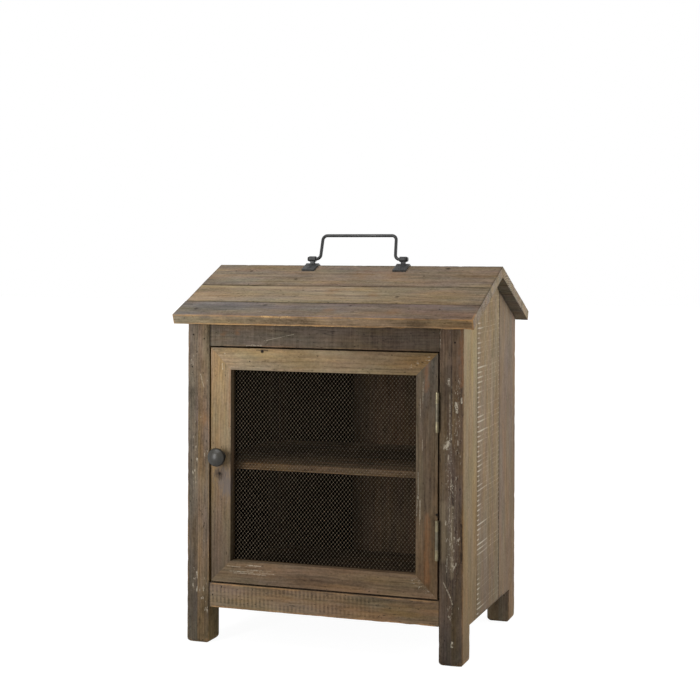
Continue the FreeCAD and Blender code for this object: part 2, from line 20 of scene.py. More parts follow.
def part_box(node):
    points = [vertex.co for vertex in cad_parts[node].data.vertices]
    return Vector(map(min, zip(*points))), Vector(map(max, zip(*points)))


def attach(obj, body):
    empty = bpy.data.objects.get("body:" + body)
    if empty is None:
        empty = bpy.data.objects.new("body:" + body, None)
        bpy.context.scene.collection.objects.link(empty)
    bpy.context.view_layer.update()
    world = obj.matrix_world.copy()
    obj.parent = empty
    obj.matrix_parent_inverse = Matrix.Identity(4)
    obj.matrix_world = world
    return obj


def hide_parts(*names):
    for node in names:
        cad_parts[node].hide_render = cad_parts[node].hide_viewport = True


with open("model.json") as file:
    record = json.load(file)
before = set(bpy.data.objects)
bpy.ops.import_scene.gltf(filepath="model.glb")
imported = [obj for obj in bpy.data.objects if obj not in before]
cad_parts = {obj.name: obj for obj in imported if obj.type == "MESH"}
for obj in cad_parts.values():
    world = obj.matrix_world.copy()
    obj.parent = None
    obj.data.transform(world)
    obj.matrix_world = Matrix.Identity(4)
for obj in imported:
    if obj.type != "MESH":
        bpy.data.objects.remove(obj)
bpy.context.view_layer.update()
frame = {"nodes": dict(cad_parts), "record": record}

body_of = {node: body for body, nodes in frame["record"]["behaviour"]["bodies"].items() for node in nodes}

# %% [markdown]
# ## Where the picture is taken from
# The uprights in the picture are parallel, so the camera looks level and the lens is shifted down instead.
# The place, the turn and the focal length were found by fitting the straight edges of the roof and the door.

# %% Camera
FRAME_PX = 700
HORIZON_PX = 254.2
FOCAL_PX = 1503.8
SENSOR_MM = 36.0
camera = bpy.data.objects.new("camera", bpy.data.cameras.new("camera"))
camera.location = (0.7747, -2.2428, 0.5913)
camera.rotation_euler = (math.pi / 2, -0.0036, 0.3376)
camera.data.sensor_width = SENSOR_MM
camera.data.lens = FOCAL_PX / FRAME_PX * SENSOR_MM
camera.data.shift_y = (HORIZON_PX - FRAME_PX / 2) / FRAME_PX
bpy.context.scene.collection.objects.link(camera)
bpy.context.scene.camera = camera
print("lens", round(camera.data.lens, 1), "mm, shift", round(camera.data.shift_y, 3))

# %% [markdown]
# ## A kit for finishes
# Wood, iron and brass are all built from noise, ramps and sums. Written out, each node takes several lines,
# so a small class adds a node, feeds it with values or with other nodes, and hands back what comes out.

# %% Finish class
class Finish:
    """A material in the making. Most methods add a node and return what comes out of it."""

    def __init__(self, name, **constants):
        self.material = bpy.data.materials.new(name)
        self.material.use_nodes = True
        self.tree = self.material.node_tree
        self.surface = self.tree.nodes["Principled BSDF"]
        for socket, value in constants.items():
            self.surface.inputs[socket.replace("_", " ")].default_value = value

    def put(self, kind, inputs, outlet=0, **settings):
        node = self.tree.nodes.new(kind)
        for key, value in settings.items():
            setattr(node, key, value)
        for key, value in inputs.items():
            self.feed(node.inputs[key], value)
        return node.outputs[outlet]

    def feed(self, socket, value):
        if isinstance(value, bpy.types.NodeSocket):
            self.tree.links.new(value, socket)
        else:
            socket.default_value = value

    def give(self, socket, value):
        self.feed(self.surface.inputs[socket], value)

    def place(self):
        return self.put("ShaderNodeTexCoord", {}, "Object")

    def attribute(self, name, outlet="Fac"):
        return self.put("ShaderNodeAttribute", {}, outlet, attribute_name=name)

    def sums(self, operation, a, b=0.0, clamp=False):
        return self.put("ShaderNodeMath", {0: a, 1: b}, operation=operation, use_clamp=clamp)

    def product(self, first, *factors):
        for factor in factors:
            first = self.sums("MULTIPLY", first, factor)
        return first

    def total(self, first, *others):
        for other in others:
            first = self.sums("ADD", first, other)
        return first

    def vectors(self, operation, a, b=(0.0, 0.0, 0.0)):
        outlet = 1 if operation in ("DOT_PRODUCT", "LENGTH") else 0
        return self.put("ShaderNodeVectorMath", {0: a, 1: b}, outlet, operation=operation)

    def times(self, colour, factor):
        return self.put("ShaderNodeVectorMath", {0: colour, "Scale": factor}, operation="SCALE")

    def from_line(self, start, end):
        """Distance of the shaded point from the straight line between two places."""
        reach = end - start
        share = reach / max(reach.length_squared, 1e-12)
        offset = self.vectors("SUBTRACT", self.place(), start)
        part = self.vectors("DOT_PRODUCT", offset, share)
        foot = self.times(reach, self.sums("ADD", part, clamp=True))
        return self.vectors("LENGTH", self.vectors("SUBTRACT", offset, foot))

    def noise(self, vector, scale=1.0, detail=3.0, roughness=0.55):
        inputs = {"Vector": vector, "Scale": scale, "Detail": detail, "Roughness": roughness}
        return self.put("ShaderNodeTexNoise", inputs)

    def grainwise(self, timber, along, across, **settings):
        """Noise that is drawn out along a board."""
        return self.noise(self.vectors("MULTIPLY", timber, (along, across, across)), **settings)

    def fade(self, value, low, high, out_low=0.0, out_high=1.0):
        inputs = {"Value": value, "From Min": low, "From Max": high, "To Min": out_low, "To Max": out_high}
        return self.put("ShaderNodeMapRange", inputs)

    def ramp(self, value, *stops):
        colours = self.put("ShaderNodeValToRGB", {"Fac": value})
        elements = colours.node.color_ramp.elements
        while len(elements) < len(stops):
            elements.new(1.0)
        for element, (place, colour) in zip(elements, stops):
            element.position = place
            element.color = (*colour, 1.0)
        return colours

    def mix(self, factor, a, b, how="MIX"):
        rgba = [c if isinstance(c, bpy.types.NodeSocket) else (*c, 1.0) for c in (a, b)]
        inputs = {0: factor, 6: rgba[0], 7: rgba[1]}
        return self.put("ShaderNodeMix", inputs, 2, data_type="RGBA", blend_type=how)

    def bump(self, height, strength, distance):
        inputs = {"Height": height, "Strength": strength, "Distance": distance}
        self.give("Normal", self.put("ShaderNodeBump", inputs))

print("finish kit ready")

# %% [markdown]
# ## Old pine
# The boards are second-hand pine, greyed and waxed. Each carries several things at once: the growth rings of
# the log, fibres and mottle along it, long streaks, and a patina that wanders without regard to the grain.
# A picture of wood would repeat, and would not turn with the boards. The pattern reads the "timber" attribute
# instead, the place of a point inside its log, so that the grain follows each board wherever it lies.

# %% Timber figure
RING_PITCH = 0.0034

def srgb(red, green, blue):
    """A colour written in display bytes, as the linear values that shaders take."""
    def linear(byte):
        c = byte / 255
        return c / 12.92 if c <= 0.04045 else ((c + 0.055) / 1.055) ** 2.4
    return Vector((linear(red), linear(green), linear(blue)))

def growth_rings(pine, timber, wobble):
    """Dark late wood, 0 to 1, on rings round the pith, which lies where timber is zero."""
    radius = pine.vectors("LENGTH", pine.vectors("MULTIPLY", timber, (0.0, 1.0, 1.0)))
    turn = pine.total(radius, pine.product(wobble, 0.03))
    year = pine.sums("FRACT", pine.sums("DIVIDE", turn, RING_PITCH))
    return pine.product(pine.fade(year, 0.35, 0.9), pine.fade(year, 1.0, 0.92))

def grain_lines(pine, timber, spacing, width, gate):
    """Thin lines along the board, 0 to 1, where a stretched noise crosses its middle."""
    field = pine.grainwise(timber, 3.0, 1 / spacing, detail=2.0)
    line = pine.fade(pine.sums("ABSOLUTE", pine.sums("SUBTRACT", field, 0.5)), width, 0.0)
    where = pine.grainwise(timber, 6.0, 30.0, detail=1.0)
    return pine.product(line, pine.fade(where, gate, gate + 0.12))

def saw_marks(pine, timber, wobble, pitch, slant):
    """Ripples across the board, -1 to 1, one for each stroke of the saw, and each stroke's own force."""
    along = pine.vectors("DOT_PRODUCT", timber, (1.0, slant, 0.0))
    strokes = pine.sums("DIVIDE", pine.total(along, pine.product(wobble, 0.006)), pitch)
    force = pine.put("ShaderNodeTexWhiteNoise", {"W": pine.sums("FLOOR", strokes)}, noise_dimensions="1D")
    turn = pine.product(pine.sums("SUBTRACT", strokes, 0.25), 2 * math.pi)
    return pine.sums("SINE", turn), force

print("rings every", RING_PITCH * 1000, "mm")

# %% [markdown]
# ## One board's colour
# On a real board these patterns lie over each other. Each could be painted by hand, but one function can mix
# them for all boards, and each finish sets how much of a pattern it shows. Their sum goes through a ramp,
# which holds the darkest and the palest wood in bounds. Saw marks come on top.

# %% Old pine
SAW_LINE = srgb(206, 194, 170)
SAW_DASH = srgb(204, 196, 178)

def old_pine(name, near, far=None, streak=0.4, patch=0.7, grain=0.5, grey=0.8, ripple=0.0, saw=0.0,
             pitch=0.0093, pale=0.0, flecks=0.0, rub=0.18, dirt=0.9, gloss=0.1, turn=(0.0, 1.0),
             ripple_end=1.2, borders=None, cross=0.0, rings=0.1, slant=0.05, marks=()):
    """Waxed old pine. Its tone goes from near, at a board's left or lower end, to far at the other end."""
    pine = Finish(name, Specular_IOR_Level=gloss)
    tone = pine.mix(pine.fade(pine.attribute("run"), *turn), srgb(*near), srgb(*(far or near)))
    timber = pine.attribute("timber", "Vector")
    wobble = pine.grainwise(timber, 2.0, 12.0)
    late = growth_rings(pine, timber, wobble)
    fibres = pine.grainwise(timber, 30.0, 700.0, detail=3.0, roughness=0.65)
    mottle = pine.grainwise(timber, 85.0, 330.0, detail=4.0, roughness=0.7)
    streaks = pine.grainwise(timber, 2.6, 95.0, detail=5.0, roughness=0.66)
    patina = pine.grainwise(timber, 13.0, 34.0, detail=6.0, roughness=0.68)
    shade = pine.sums("SUBTRACT", 0.5 + 0.3 * rings, pine.product(late, rings))
    speckle = pine.noise(timber, scale=300.0, detail=2.0)
    drips = pine.grainwise(timber, 210.0, 12.0, detail=4.0, roughness=0.6)
    for field, amount in ((streaks, streak), (patina, patch), (fibres, 0.2), (mottle, grain), (speckle, 0.3),
                          (drips, cross)):
        shade = pine.total(shade, pine.product(pine.sums("SUBTRACT", field, 0.5), amount))
    levels = ((0.1, 0.12), (0.36, 0.36), (0.5, 0.5), (0.66, 0.66), (0.9, 0.95))
    depth = pine.ramp(shade, *((place, (level, level, level)) for place, level in levels))
    colour = pine.times(pine.mix(1.0, tone, depth, "MULTIPLY"), 2.0)
    hue = pine.grainwise(timber, 7.0, 36.0, detail=5.0, roughness=0.6)
    tint = pine.ramp(hue, (0.36, (0.86, 0.92, 1.0)), (0.5, (0.92, 0.9, 0.87)), (0.64, (1.0, 0.88, 0.68)))
    colour = pine.mix(grey, colour, pine.times(pine.mix(1.0, colour, tint, "MULTIPLY"), 1.1))
    olive = pine.grainwise(timber, 9.0, 50.0, detail=4.0)
    cast = pine.ramp(olive, (0.38, (1.0, 0.93, 0.99)), (0.62, (0.96, 0.98, 0.92)))
    colour = pine.times(pine.mix(grey, colour, pine.mix(1.0, colour, cast, "MULTIPLY")), 1.03)
    strokes = saw_marks(pine, timber, wobble, pitch, slant)
    shown = pine.product(pine.fade(pine.attribute("run"), ripple_end, ripple_end - 0.2), ripple)
    colour, rippled = sawn(pine, timber, strokes, colour, tone, shown, saw)
    if borders:
        colour = saw_dashes(pine, strokes, colour, *borders)
    colour = weathering(pine, timber, colour, tone, pale, flecks)
    colour = edges(pine, mottle, colour, rub, dirt)
    colour = placed_marks(pine, timber, mottle, colour, marks)
    pine.give("Base Color", colour)
    pine.give("Roughness", pine.fade(shade, 0.3, 0.8, 0.78, 0.52))
    relief = pine.total(fibres, late, pine.product(mottle, 1.5))
    pine.bump(pine.total(pine.product(rippled, 0.8), relief), 0.35, 0.0005)
    return pine.material

def sawn(pine, timber, strokes, colour, tone, ripple, saw):
    """Broad ripples and thin pale lines left by the saw, over a board's own colour."""
    marks, force = strokes
    patchy = pine.fade(pine.grainwise(timber, 16.0, 130.0, detail=3.0), 0.36, 0.62)
    rippled = pine.product(marks, patchy, ripple)
    light = pine.mix(1.0, pine.times(tone, 1.8), (1.08, 1.0, 0.84), "MULTIPLY")
    colour = pine.mix(pine.fade(rippled, 0.0, 1.0, 0.0, 0.8), colour, light)
    colour = pine.mix(pine.fade(rippled, 0.0, -1.0, 0.0, 0.8), colour, pine.times(tone, 0.3))
    if saw:
        teeth = pine.product(pine.fade(marks, 0.78, 0.99), pine.product(patchy, saw))
        colour = pine.mix(pine.product(teeth, force), colour, SAW_LINE)
    return colour, rippled

def saw_dashes(pine, strokes, colour, front, rear):
    """Pale dashes where the saw bit into the borders of a board: long ones at the front, dots at the rear."""
    marks, force = strokes
    place = pine.place()
    depth = pine.put("ShaderNodeSeparateXYZ", {0: place}, 1)
    height = pine.put("ShaderNodeSeparateXYZ", {0: place}, 2)
    reach = pine.total(pine.product(pine.sums("POWER", force, 3.0), 0.055), 0.013)
    long = pine.fade(pine.sums("DIVIDE", pine.sums("SUBTRACT", depth, front), reach), 1.0, 0.35)
    dots = pine.fade(pine.sums("SUBTRACT", rear, depth), 0.005, 0.002, 0.0, 0.7)
    blotch = pine.noise(pine.put("ShaderNodeCombineXYZ", {2: height}), 11.0, 1.0)
    gate = pine.fade(blotch, 0.36, 0.5, 0.12, 0.7)
    thin = pine.fade(marks, 0.35, 0.95)
    bite = pine.product(pine.sums("MAXIMUM", long, dots), thin, gate)
    return pine.mix(bite, colour, SAW_DASH)

print("old pine ready")

# %% [markdown]
# ## Age on top of the timber
# Old boards carry nail holes, knots, scratches and dabs of paint, and the picture shows where the larger ones
# are. A painted image would have to be fitted to every board. So each mark is a dot or a line at its place on
# the safe. It fades with the distance from there, and the mottle makes its rim ragged. The same marks also
# lay painted shade inside the safe. Free arrises are rubbed down to fresh wood, and the joints hold dirt.

# %% Age on top of the timber
MARK_LOOKS = {  # tint, share of the width at full strength, strength
    "nail": (srgb(20, 17, 15), 0.55, 0.92), "hole": (srgb(12, 9, 7), 0.6, 0.97),
    "knot": (srgb(58, 47, 38), 0.3, 0.85), "stain": (srgb(104, 95, 89), 0.25, 0.6),
    "scratch": (srgb(186, 175, 154), 0.3, 0.45), "dab": (srgb(186, 177, 158), 0.45, 0.75),
    # "shade" is not age: it is painted shade for the inside of the safe.
    "flecks": (srgb(180, 170, 150), 0.3, 0.5), "shade": (srgb(20, 18, 16), 0.2, 0.75),
    "rubbed": (srgb(130, 115, 92), 0.2, 0.4), "bare": (srgb(150, 110, 72), 0.0, 0.35),
    "rust": (srgb(146, 100, 64), 0.0, 0.33), "bloom": (srgb(104, 100, 98), 0.1, 0.4),
    "fresh": (srgb(216, 178, 124), 0.2, 0.8), "crack": (srgb(30, 24, 20), 0.3, 0.7),
}
RAGGED = {"scratch": 1.4, "dab": 3.5, "stain": 3.0, "knot": 1.8, "hole": 1.2, "rust": 4.0}
OLD_PAINT = srgb(172, 162, 144)
FRESH_WOOD = srgb(198, 150, 96)
GRIME = (0.012, 0.009, 0.006)

def placed_marks(pine, timber, mottle, colour, marks):
    """Nail holes, knots, scratches, stains and patches of painted shade, each at its own place on the safe.
    """
    chips = pine.fade(pine.noise(timber, scale=450.0, detail=3.0, roughness=0.7), 0.4, 0.52)
    crumbs = pine.grainwise(timber, 190.0, 480.0, detail=3.0, roughness=0.7)
    bits = pine.fade(crumbs, 0.57, 0.63)
    breaks = {"scratch": chips, "dab": chips, "fresh": chips, "flecks": bits}
    for kind, width, start, end in marks:
        tint, core, strength = MARK_LOOKS[kind]
        ragged = pine.product(pine.sums("SUBTRACT", mottle, 0.5), width * RAGGED.get(kind, 2.5))
        gap = pine.total(pine.from_line(start, end), ragged)
        shown = pine.fade(gap, width, width * core, 0.0, strength)
        if kind in breaks:
            shown = pine.product(shown, breaks[kind])
        colour = pine.mix(shown, colour, tint)
    return colour

def weathering(pine, timber, colour, tone, pale, flecks):
    """Cracks, pits, bleached grain and dabs of old paint over a board's own colour."""
    cracks = grain_lines(pine, timber, 0.011, 0.014, 0.5)
    colour = pine.mix(pine.product(cracks, 0.6), colour, pine.times(tone, 0.25))
    pits = pine.grainwise(timber, 150.0, 330.0, detail=1.0)
    colour = pine.mix(pine.fade(pits, 0.69, 0.76, 0.0, 0.75), colour, pine.times(tone, 0.2))
    if pale:
        bleached = grain_lines(pine, timber, 0.006, 0.05, 0.44)
        colour = pine.mix(pine.product(bleached, pale), colour, pine.times(tone, 2.2))
    if flecks:
        where = pine.grainwise(timber, 14.0, 46.0, detail=2.0)
        paint = pine.grainwise(timber, 120.0, 330.0, detail=3.0)
        dabs = pine.fade(pine.total(paint, where), 1.27 - 0.08 * flecks, 1.33 - 0.08 * flecks)
        colour = pine.mix(pine.product(dabs, 0.7), colour, OLD_PAINT)
    return colour

def edges(pine, mottle, colour, rub, dirt):
    """Fresh wood on the rubbed arrises, and dirt along the joints."""
    patchy = pine.fade(pine.noise(pine.place(), 28.0), 0.4, 0.6, 0.25, 1.0)
    worn = pine.fade(pine.total(pine.attribute("worn"), mottle), 1.05 - 0.35 * rub, 1.45)
    shown = pine.product(worn, patchy, rub)
    colour = pine.mix(shown, colour, FRESH_WOOD)
    grime = pine.sums("POWER", pine.attribute("joint"), 2.5)
    return pine.mix(pine.product(grime, dirt), colour, GRIME)

print(len(MARK_LOOKS), "kinds of marks")

# %% [markdown]
# ## Boards with worn arrises
# A CAD board has knife edges, which no old board has. A bevel modifier would round them all alike, so each
# board is copied from its node instead, its loose triangles are merged and its flat faces cleaned, and its
# edges are worked one by one. Three attributes go with the mesh: "timber" is the place in the log, "worn" the
# free arrises, "joint" the arrises that meet a neighbour.

# %% Neighbours, to tell a joint from a free edge
WOOD_WORDS = ("plank", "post", "rail", "stile", "board", "cleat", "bead")
wooden = [name for name in frame["nodes"] if any(word in name for word in WOOD_WORDS)]

def tree_of_boards():
    """All boards in one search tree, with the name of each triangle's board."""
    corners, triangles, owners = [], [], []
    for name in wooden:
        mesh = frame["nodes"][name].data
        start = len(corners)
        corners.extend(vertex.co.copy() for vertex in mesh.vertices)
        triangles.extend([start + i for i in polygon.vertices] for polygon in mesh.polygons)
        owners.extend(name for polygon in mesh.polygons)
    return BVHTree.FromPolygons(corners, triangles), owners

board_tree, board_owner = tree_of_boards()
print(len(wooden), "boards")

# %% Shape of one board
HOLED = ("left_front_post", "right_front_post", "front_roof_ridge_board", "rear_roof_ridge_board")
MERGE = 1e-5

def board_copy(name):
    """A merged copy of a board's node, with its flat faces cleaned."""
    bm = bmesh.new()
    bm.from_mesh(frame["nodes"][name].data)
    bmesh.ops.remove_doubles(bm, verts=bm.verts, dist=MERGE)
    if name in HOLED:
        bm = without_holes(bm)
    bmesh.ops.dissolve_limit(bm, angle_limit=math.radians(1), verts=bm.verts, edges=bm.edges)
    return bm

def without_holes(bm):
    """The hull of a board: the same board without its screw holes, which the fittings cover."""
    solid = bmesh.new()
    for vertex in bm.verts:
        solid.verts.new(vertex.co)
    bm.free()
    bmesh.ops.convex_hull(solid, input=solid.verts)
    bmesh.ops.delete(solid, geom=[v for v in solid.verts if not v.link_faces], context="VERTS")
    return solid

def grain_frame(bm):
    """A board's middle and its directions along, across and through."""
    low = Vector(min(v.co[i] for v in bm.verts) for i in range(3))
    high = Vector(max(v.co[i] for v in bm.verts) for i in range(3))
    size = high - low
    along = Vector(1.0 if i == max(range(3), key=lambda k: size[k]) else 0.0 for i in range(3))
    broad = [f for f in bm.faces if abs(f.normal.dot(along)) < 0.1]
    through = max(broad, key=lambda f: f.calc_area()).normal.copy()
    return (low + high) / 2, along, through.cross(along), through

print("holes filled on", len(HOLED), "boards")

# %% [markdown]
# ## Wear
# Hands and damp have rounded the arrises and the feet unevenly. Sculpting could not be repeated, so the edges
# are bevelled, and noise pulls their points inward. An inset ring inside every face lets the rubbed colour
# fade out, and cuts along the length give the edges points to wander. Glued joints stay sharp, because a
# rounded one would open a dark gap that the real safe doesn't have.

# %% Wear
ARRIS = 0.0006
WEAR = 0.0008
WEAR_SCALE = 90
RING_IN = 0.004
NARROW = 0.003
STEP = 0.006
FOOT_ROUND = 0.0065
TOUCH = 1e-4
SHARP = math.radians(20)
LEG_JOINT = abs(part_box("left_front_post")[0].x)
LEG_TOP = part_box("right_side_middle_plank")[0].z
TIGHT_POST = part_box("right_front_post")[0].x
NICKS = {  # middle, reach and depth of the larger chips on the arrises
    "front_top_rail": [((-0.108, -0.161, 0.4515), 0.015, 0.0016)],
    "door_right_stile": [((0.1788, -0.161, 0.2182), 0.010, 0.0035)],
    "front_roof_eave_board": [((-0.05, -0.176, 0.5045), 0.02, 0.0018), ((0.16, -0.18, 0.487), 0.03, 0.002)],
}

def on_leg_joint(points):
    """True where all points lie between the two halves of a leg."""
    return all(abs(abs(v.co.x) - LEG_JOINT) < TOUCH for v in points)

def mitred(face):
    """True on a face that slants across the front, as the door's mitres do."""
    return min(abs(face.normal.x), abs(face.normal.z)) > 0.5

def round_feet(bm):
    """Round the lower edges of a leg, except where its two halves meet."""
    low = [e for e in bm.edges if all(v.co.z < TOUCH for v in e.verts)]
    outer = [e for e in low if not on_leg_joint(e.verts)]
    bmesh.ops.bevel(bm, geom=outer, offset=FOOT_ROUND, affect="EDGES", segments=5, profile=0.5, material=-1)

def glued(edge):
    """True on the mitres of the door and between the two halves of a leg, which are glued shut."""
    above_leg = all(v.co.z > LEG_TOP for v in edge.verts)
    return any(mitred(f) for f in edge.link_faces) and above_leg or on_leg_joint(edge.verts)

def glued_face(face):
    """True on the faces inside those joints."""
    return on_leg_joint(face.verts) or mitred(face) and face.calc_center_median().z > LEG_TOP

def room(face):
    """How far a face can be inset before one of its edges closes up."""
    reaches = []
    for corner in face.loops:
        ends = [c for c in (corner, corner.link_loop_next) if c.is_convex]
        pinch = sum(1 / math.tan(c.calc_angle() / 2) for c in ends)
        reaches.append(corner.edge.calc_length() / max(pinch, 0.01))
    return min(reaches)

def soften(bm, arris):
    """Bevel every open edge, inset a ring in every face, and mark the points on the arrises as worn."""
    sharp = [e for e in bm.edges if e.is_manifold and e.calc_face_angle() > SHARP]
    rounded = bmesh.ops.bevel(bm, geom=[e for e in sharp if not glued(e)], offset=arris, affect="EDGES",
                              segments=2, profile=0.5, material=-1, clamp_overlap=True)
    arris_faces = set(rounded["faces"])
    bm.normal_update()
    shut = {e for e in bm.edges if glued(e)}
    for edge in shut:
        edge.smooth = False
    bmesh.ops.connect_verts_concave(bm, faces=[f for f in bm.faces if shut.issuperset(f.edges)])
    arris_points = {vertex for face in arris_faces for vertex in face.verts}
    arris_points -= {vertex for edge in shut for vertex in edge.verts}
    open_faces = [f for f in bm.faces if f not in arris_faces and not glued_face(f)]
    for face in open_faces:
        width = face.calc_area() / max(e.calc_length() for e in face.edges)
        if width > NARROW:
            ring = min(RING_IN, 0.25 * width, 0.8 * room(face))
            bmesh.ops.inset_individual(bm, faces=[face], thickness=ring, use_even_offset=True)
    worn = bm.verts.layers.float["worn"]
    for vertex in bm.verts:
        vertex[worn] = 1.0 if vertex in arris_points else 0.0

def wander(bm, along, seed, depth, nicks):
    """Cut the long edges into steps and wear the arrises unevenly."""
    def steps(edge):
        return round(edge.calc_length() / STEP)
    def lengthwise(edge):
        return abs((edge.verts[0].co - edge.verts[1].co).normalized().dot(along)) > 0.95
    for count in sorted({steps(e) for e in bm.edges if lengthwise(e) and steps(e) > 1}, reverse=True):
        same = [e for e in bm.edges if steps(e) == count and lengthwise(e)]
        bmesh.ops.subdivide_edges(bm, edges=same, cuts=count - 1)
    bm.normal_update()
    worn = bm.verts.layers.float["worn"]
    for vertex in bm.verts:
        if vertex[worn] > 0.9:
            spot = vertex.co * WEAR_SCALE + seed
            wear = depth * max(0.0, noise.noise(spot) + 0.25 * noise.noise(spot * 3.1))
            for middle, reach, chip in nicks:
                wear += chip * max(0.0, 1 - ((vertex.co - Vector(middle)).length / reach) ** 2)
            vertex.co -= vertex.normal * wear

print("arris", ARRIS * 1000, "mm")

# %% [markdown]
# ## From a shape to a dressed board
# Every board goes the same way: its sides get their finishes, its edges wear, and each point learns its place
# in the log. A board's own name seeds its random numbers, so the same log comes up each time.

# %% Finish one board
slot_of = {part["node"]: part["material_slot"] for part in frame["record"]["subparts"]}
JOINT_REACH = 0.0026
POST_REACH = 0.0015

def dress_board(name, finish, other_faces=(), bm=None, depth=WEAR, arris=ARRIS):
    """A worn board in place of its node. The other faces are pairs of a direction and that side's finish."""
    bm = bm or board_copy(name)
    for layer in ("worn", "joint", "run"):
        bm.verts.layers.float.new(layer)
    bm.verts.layers.float_vector.new("timber")
    bm.normal_update()
    for face in bm.faces:
        sides = [i + 1 for i, (way, _) in enumerate(other_faces) if face.normal.dot(way) > 0.7]
        face.material_index = sides[0] if sides else 0
    middle, along, across, through = grain_frame(bm)
    rnd = random.Random(name)
    log = Vector((rnd.uniform(0, 9), rnd.uniform(-0.05, 0.05), rnd.choice((-1, 1)) * rnd.uniform(0.03, 0.08)))
    round_feet(bm)
    soften(bm, arris)
    wander(bm, along, Vector(rnd.uniform(0, 50) for axis in range(3)), depth, NICKS.get(name, ()))
    place_in_log(bm, middle, (along, across, through), log)
    mark_joints(bm, name)
    settle(name, bm, [finish] + [other for _, other in other_faces])

def place_in_log(bm, middle, directions, log):
    """Write each point's place in its log, and how far along the board it is."""
    timber = bm.verts.layers.float_vector["timber"]
    run = bm.verts.layers.float["run"]
    half = max((v.co - middle).dot(directions[0]) for v in bm.verts)
    for vertex in bm.verts:
        offset = Vector((vertex.co - middle).dot(way) for way in directions)
        vertex[timber] = log + offset
        vertex[run] = 0.5 + 0.5 * offset.x / half

def mark_joints(bm, name):
    """Turn the worn arrises that lie against another board into joints. The right post's joints are clean."""
    worn, joint = (bm.verts.layers.float[layer] for layer in ("worn", "joint"))
    for vertex in bm.verts:
        near = board_tree.find_nearest_range(vertex.co, JOINT_REACH) if vertex[worn] > 0.5 else ()
        if abs(vertex.co.x - TIGHT_POST) < POST_REACH and vertex.co.y < 0:
            vertex[worn] = 0.0
        elif any(board_owner[hit[2]] != name for hit in near):
            vertex[joint], vertex[worn] = 1.0, 0.0

def new_piece(name, mesh, finishes):
    """A smooth piece in the scene, with its finishes."""
    mesh.shade_smooth()
    for finish in finishes:
        mesh.materials.append(finish)
    piece = bpy.data.objects.new(name, mesh)
    bpy.context.scene.collection.objects.link(piece)
    return piece

def settle(name, bm, finishes):
    """Turn a bmesh into the piece that stands for a node."""
    mesh = bpy.data.meshes.new("worn_" + name)
    bm.to_mesh(mesh)
    bm.free()
    piece = new_piece("worn_" + name, mesh, finishes)
    weighted = piece.modifiers.new("flat faces stay flat", "WEIGHTED_NORMAL")
    weighted.weight = 80
    weighted.keep_sharp = True
    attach(piece, body_of[name])
    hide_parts(name)

print("board maker ready")

# %% [markdown]
# ## The boards' own tones
# Reclaimed boards differ, and the picture shows which is which: a greyed roof with a paler middle board, a
# pale left stile, dark posts, sawn rails. One finish is made for each kind of board, and the hidden boards
# share one. Marks are measured in millimetres on the front or down the roof, so short functions first turn
# those into places on the safe.

# %% Places on the safe
FRONT_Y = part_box("door_left_stile")[0].y
RIDGE_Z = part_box("front_roof_ridge_board")[1].z
PITCH = math.radians(22.5)
ROOF_BOARD = 0.0155

def on_front(x, z):
    """A place on the safe's front, from millimetres across and up."""
    return Vector((x / 1000, FRONT_Y, z / 1000))

def on_roof(x, down):
    """A place on the front slope, from millimetres across and down from the ridge."""
    return Vector((x / 1000, -down / 1000 * math.cos(PITCH), RIDGE_Z - down / 1000 * math.sin(PITCH)))

def under_roof(x, down):
    """The place below that one, on the underside of the roof board."""
    return on_roof(x, down) + ROOF_BOARD * Vector((0.0, math.sin(PITCH), -math.cos(PITCH)))

def marks_on(surface, *marks):
    """Marks from their kind, their width and one place (a dot) or two (a line), all in millimetres."""
    return [(kind, width / 1000, surface(*way[:2]), surface(*way[-2:])) for kind, width, *way in marks]

def scratches(seed, count, start, end, lean, width):
    """Scratches that lean one way, strewn over the rectangle between two places on the front."""
    rnd = random.Random(seed)
    found = []
    for i in range(count):
        x = rnd.uniform(start[0], end[0])
        z = rnd.uniform(start[1], end[1])
        size = rnd.uniform(0.4, 1.2)
        end_x = x + lean[0] * size + rnd.uniform(-1, 1)
        end_z = z + lean[1] * size + rnd.uniform(-1, 1)
        found += marks_on(on_front, ("scratch", width * rnd.uniform(0.7, 1.4), x, z, end_x, end_z))
    return found

print("front at", FRONT_Y, "ridge at", round(RIDGE_Z, 4))

# %% [markdown]
# ## The roof's finishes
# The roof has weathered most: it is grey on top, and fresh wood shows where the eave was knocked. One finish
# could cover a board, but cut ends show rings and the underside stays clean, so these faces and the eave's
# edge have finishes of their own.

# %% Roof finishes
EAVE = 194.8
ridge_pine = old_pine(
    "ridge_pine", (143, 129, 111), (130, 114, 95), streak=0.36, patch=0.6, dirt=0.6, marks=marks_on(
        on_roof, ("knot", 3.6, -171, 25), ("knot", 3.6, -84, 56), ("knot", 5, 151, 10),
        ("nail", 1.8, -198, 26), ("nail", 1.8, 120, 40), ("bare", 30, 20, 40), ("bare", 30, 70, 35)))
middle_roof_pine = old_pine(
    "middle_roof_pine", (152, 137, 113), (132, 117, 96), streak=0.5, pale=0.45, dirt=0.6, marks=marks_on(
        on_roof, ("knot", 4, 100, 119), ("nail", 1.6, -60, 90), ("bare", 16, 60, 112),
        ("bare", 16, -10, 104)))
eave_pine = old_pine(
    "eave_pine", (124, 119, 112), (118, 99, 84), streak=0.36, patch=0.6, rub=0.5, dirt=0.6, marks=marks_on(
        on_roof, ("knot", 5, -98, 155), ("knot", 5, -205, 172), ("knot", 3.2, 38, 153),
        ("bloom", 17, -200, 163, -90, 160), ("bloom", 12, 185, 158, 222, 158), ("nail", 1.6, 177, 160),
        ("fresh", 2.8, -88, 194, -44, 195), ("bare", 14, 10, 170), ("bare", 14, 110, 172)))
lower_arris = marks_on(
    under_roof, ("fresh", 1.6, -180, EAVE, -110, EAVE), ("fresh", 1.6, -70, EAVE, 60, EAVE),
    ("fresh", 1.4, 140, EAVE, 230, EAVE))
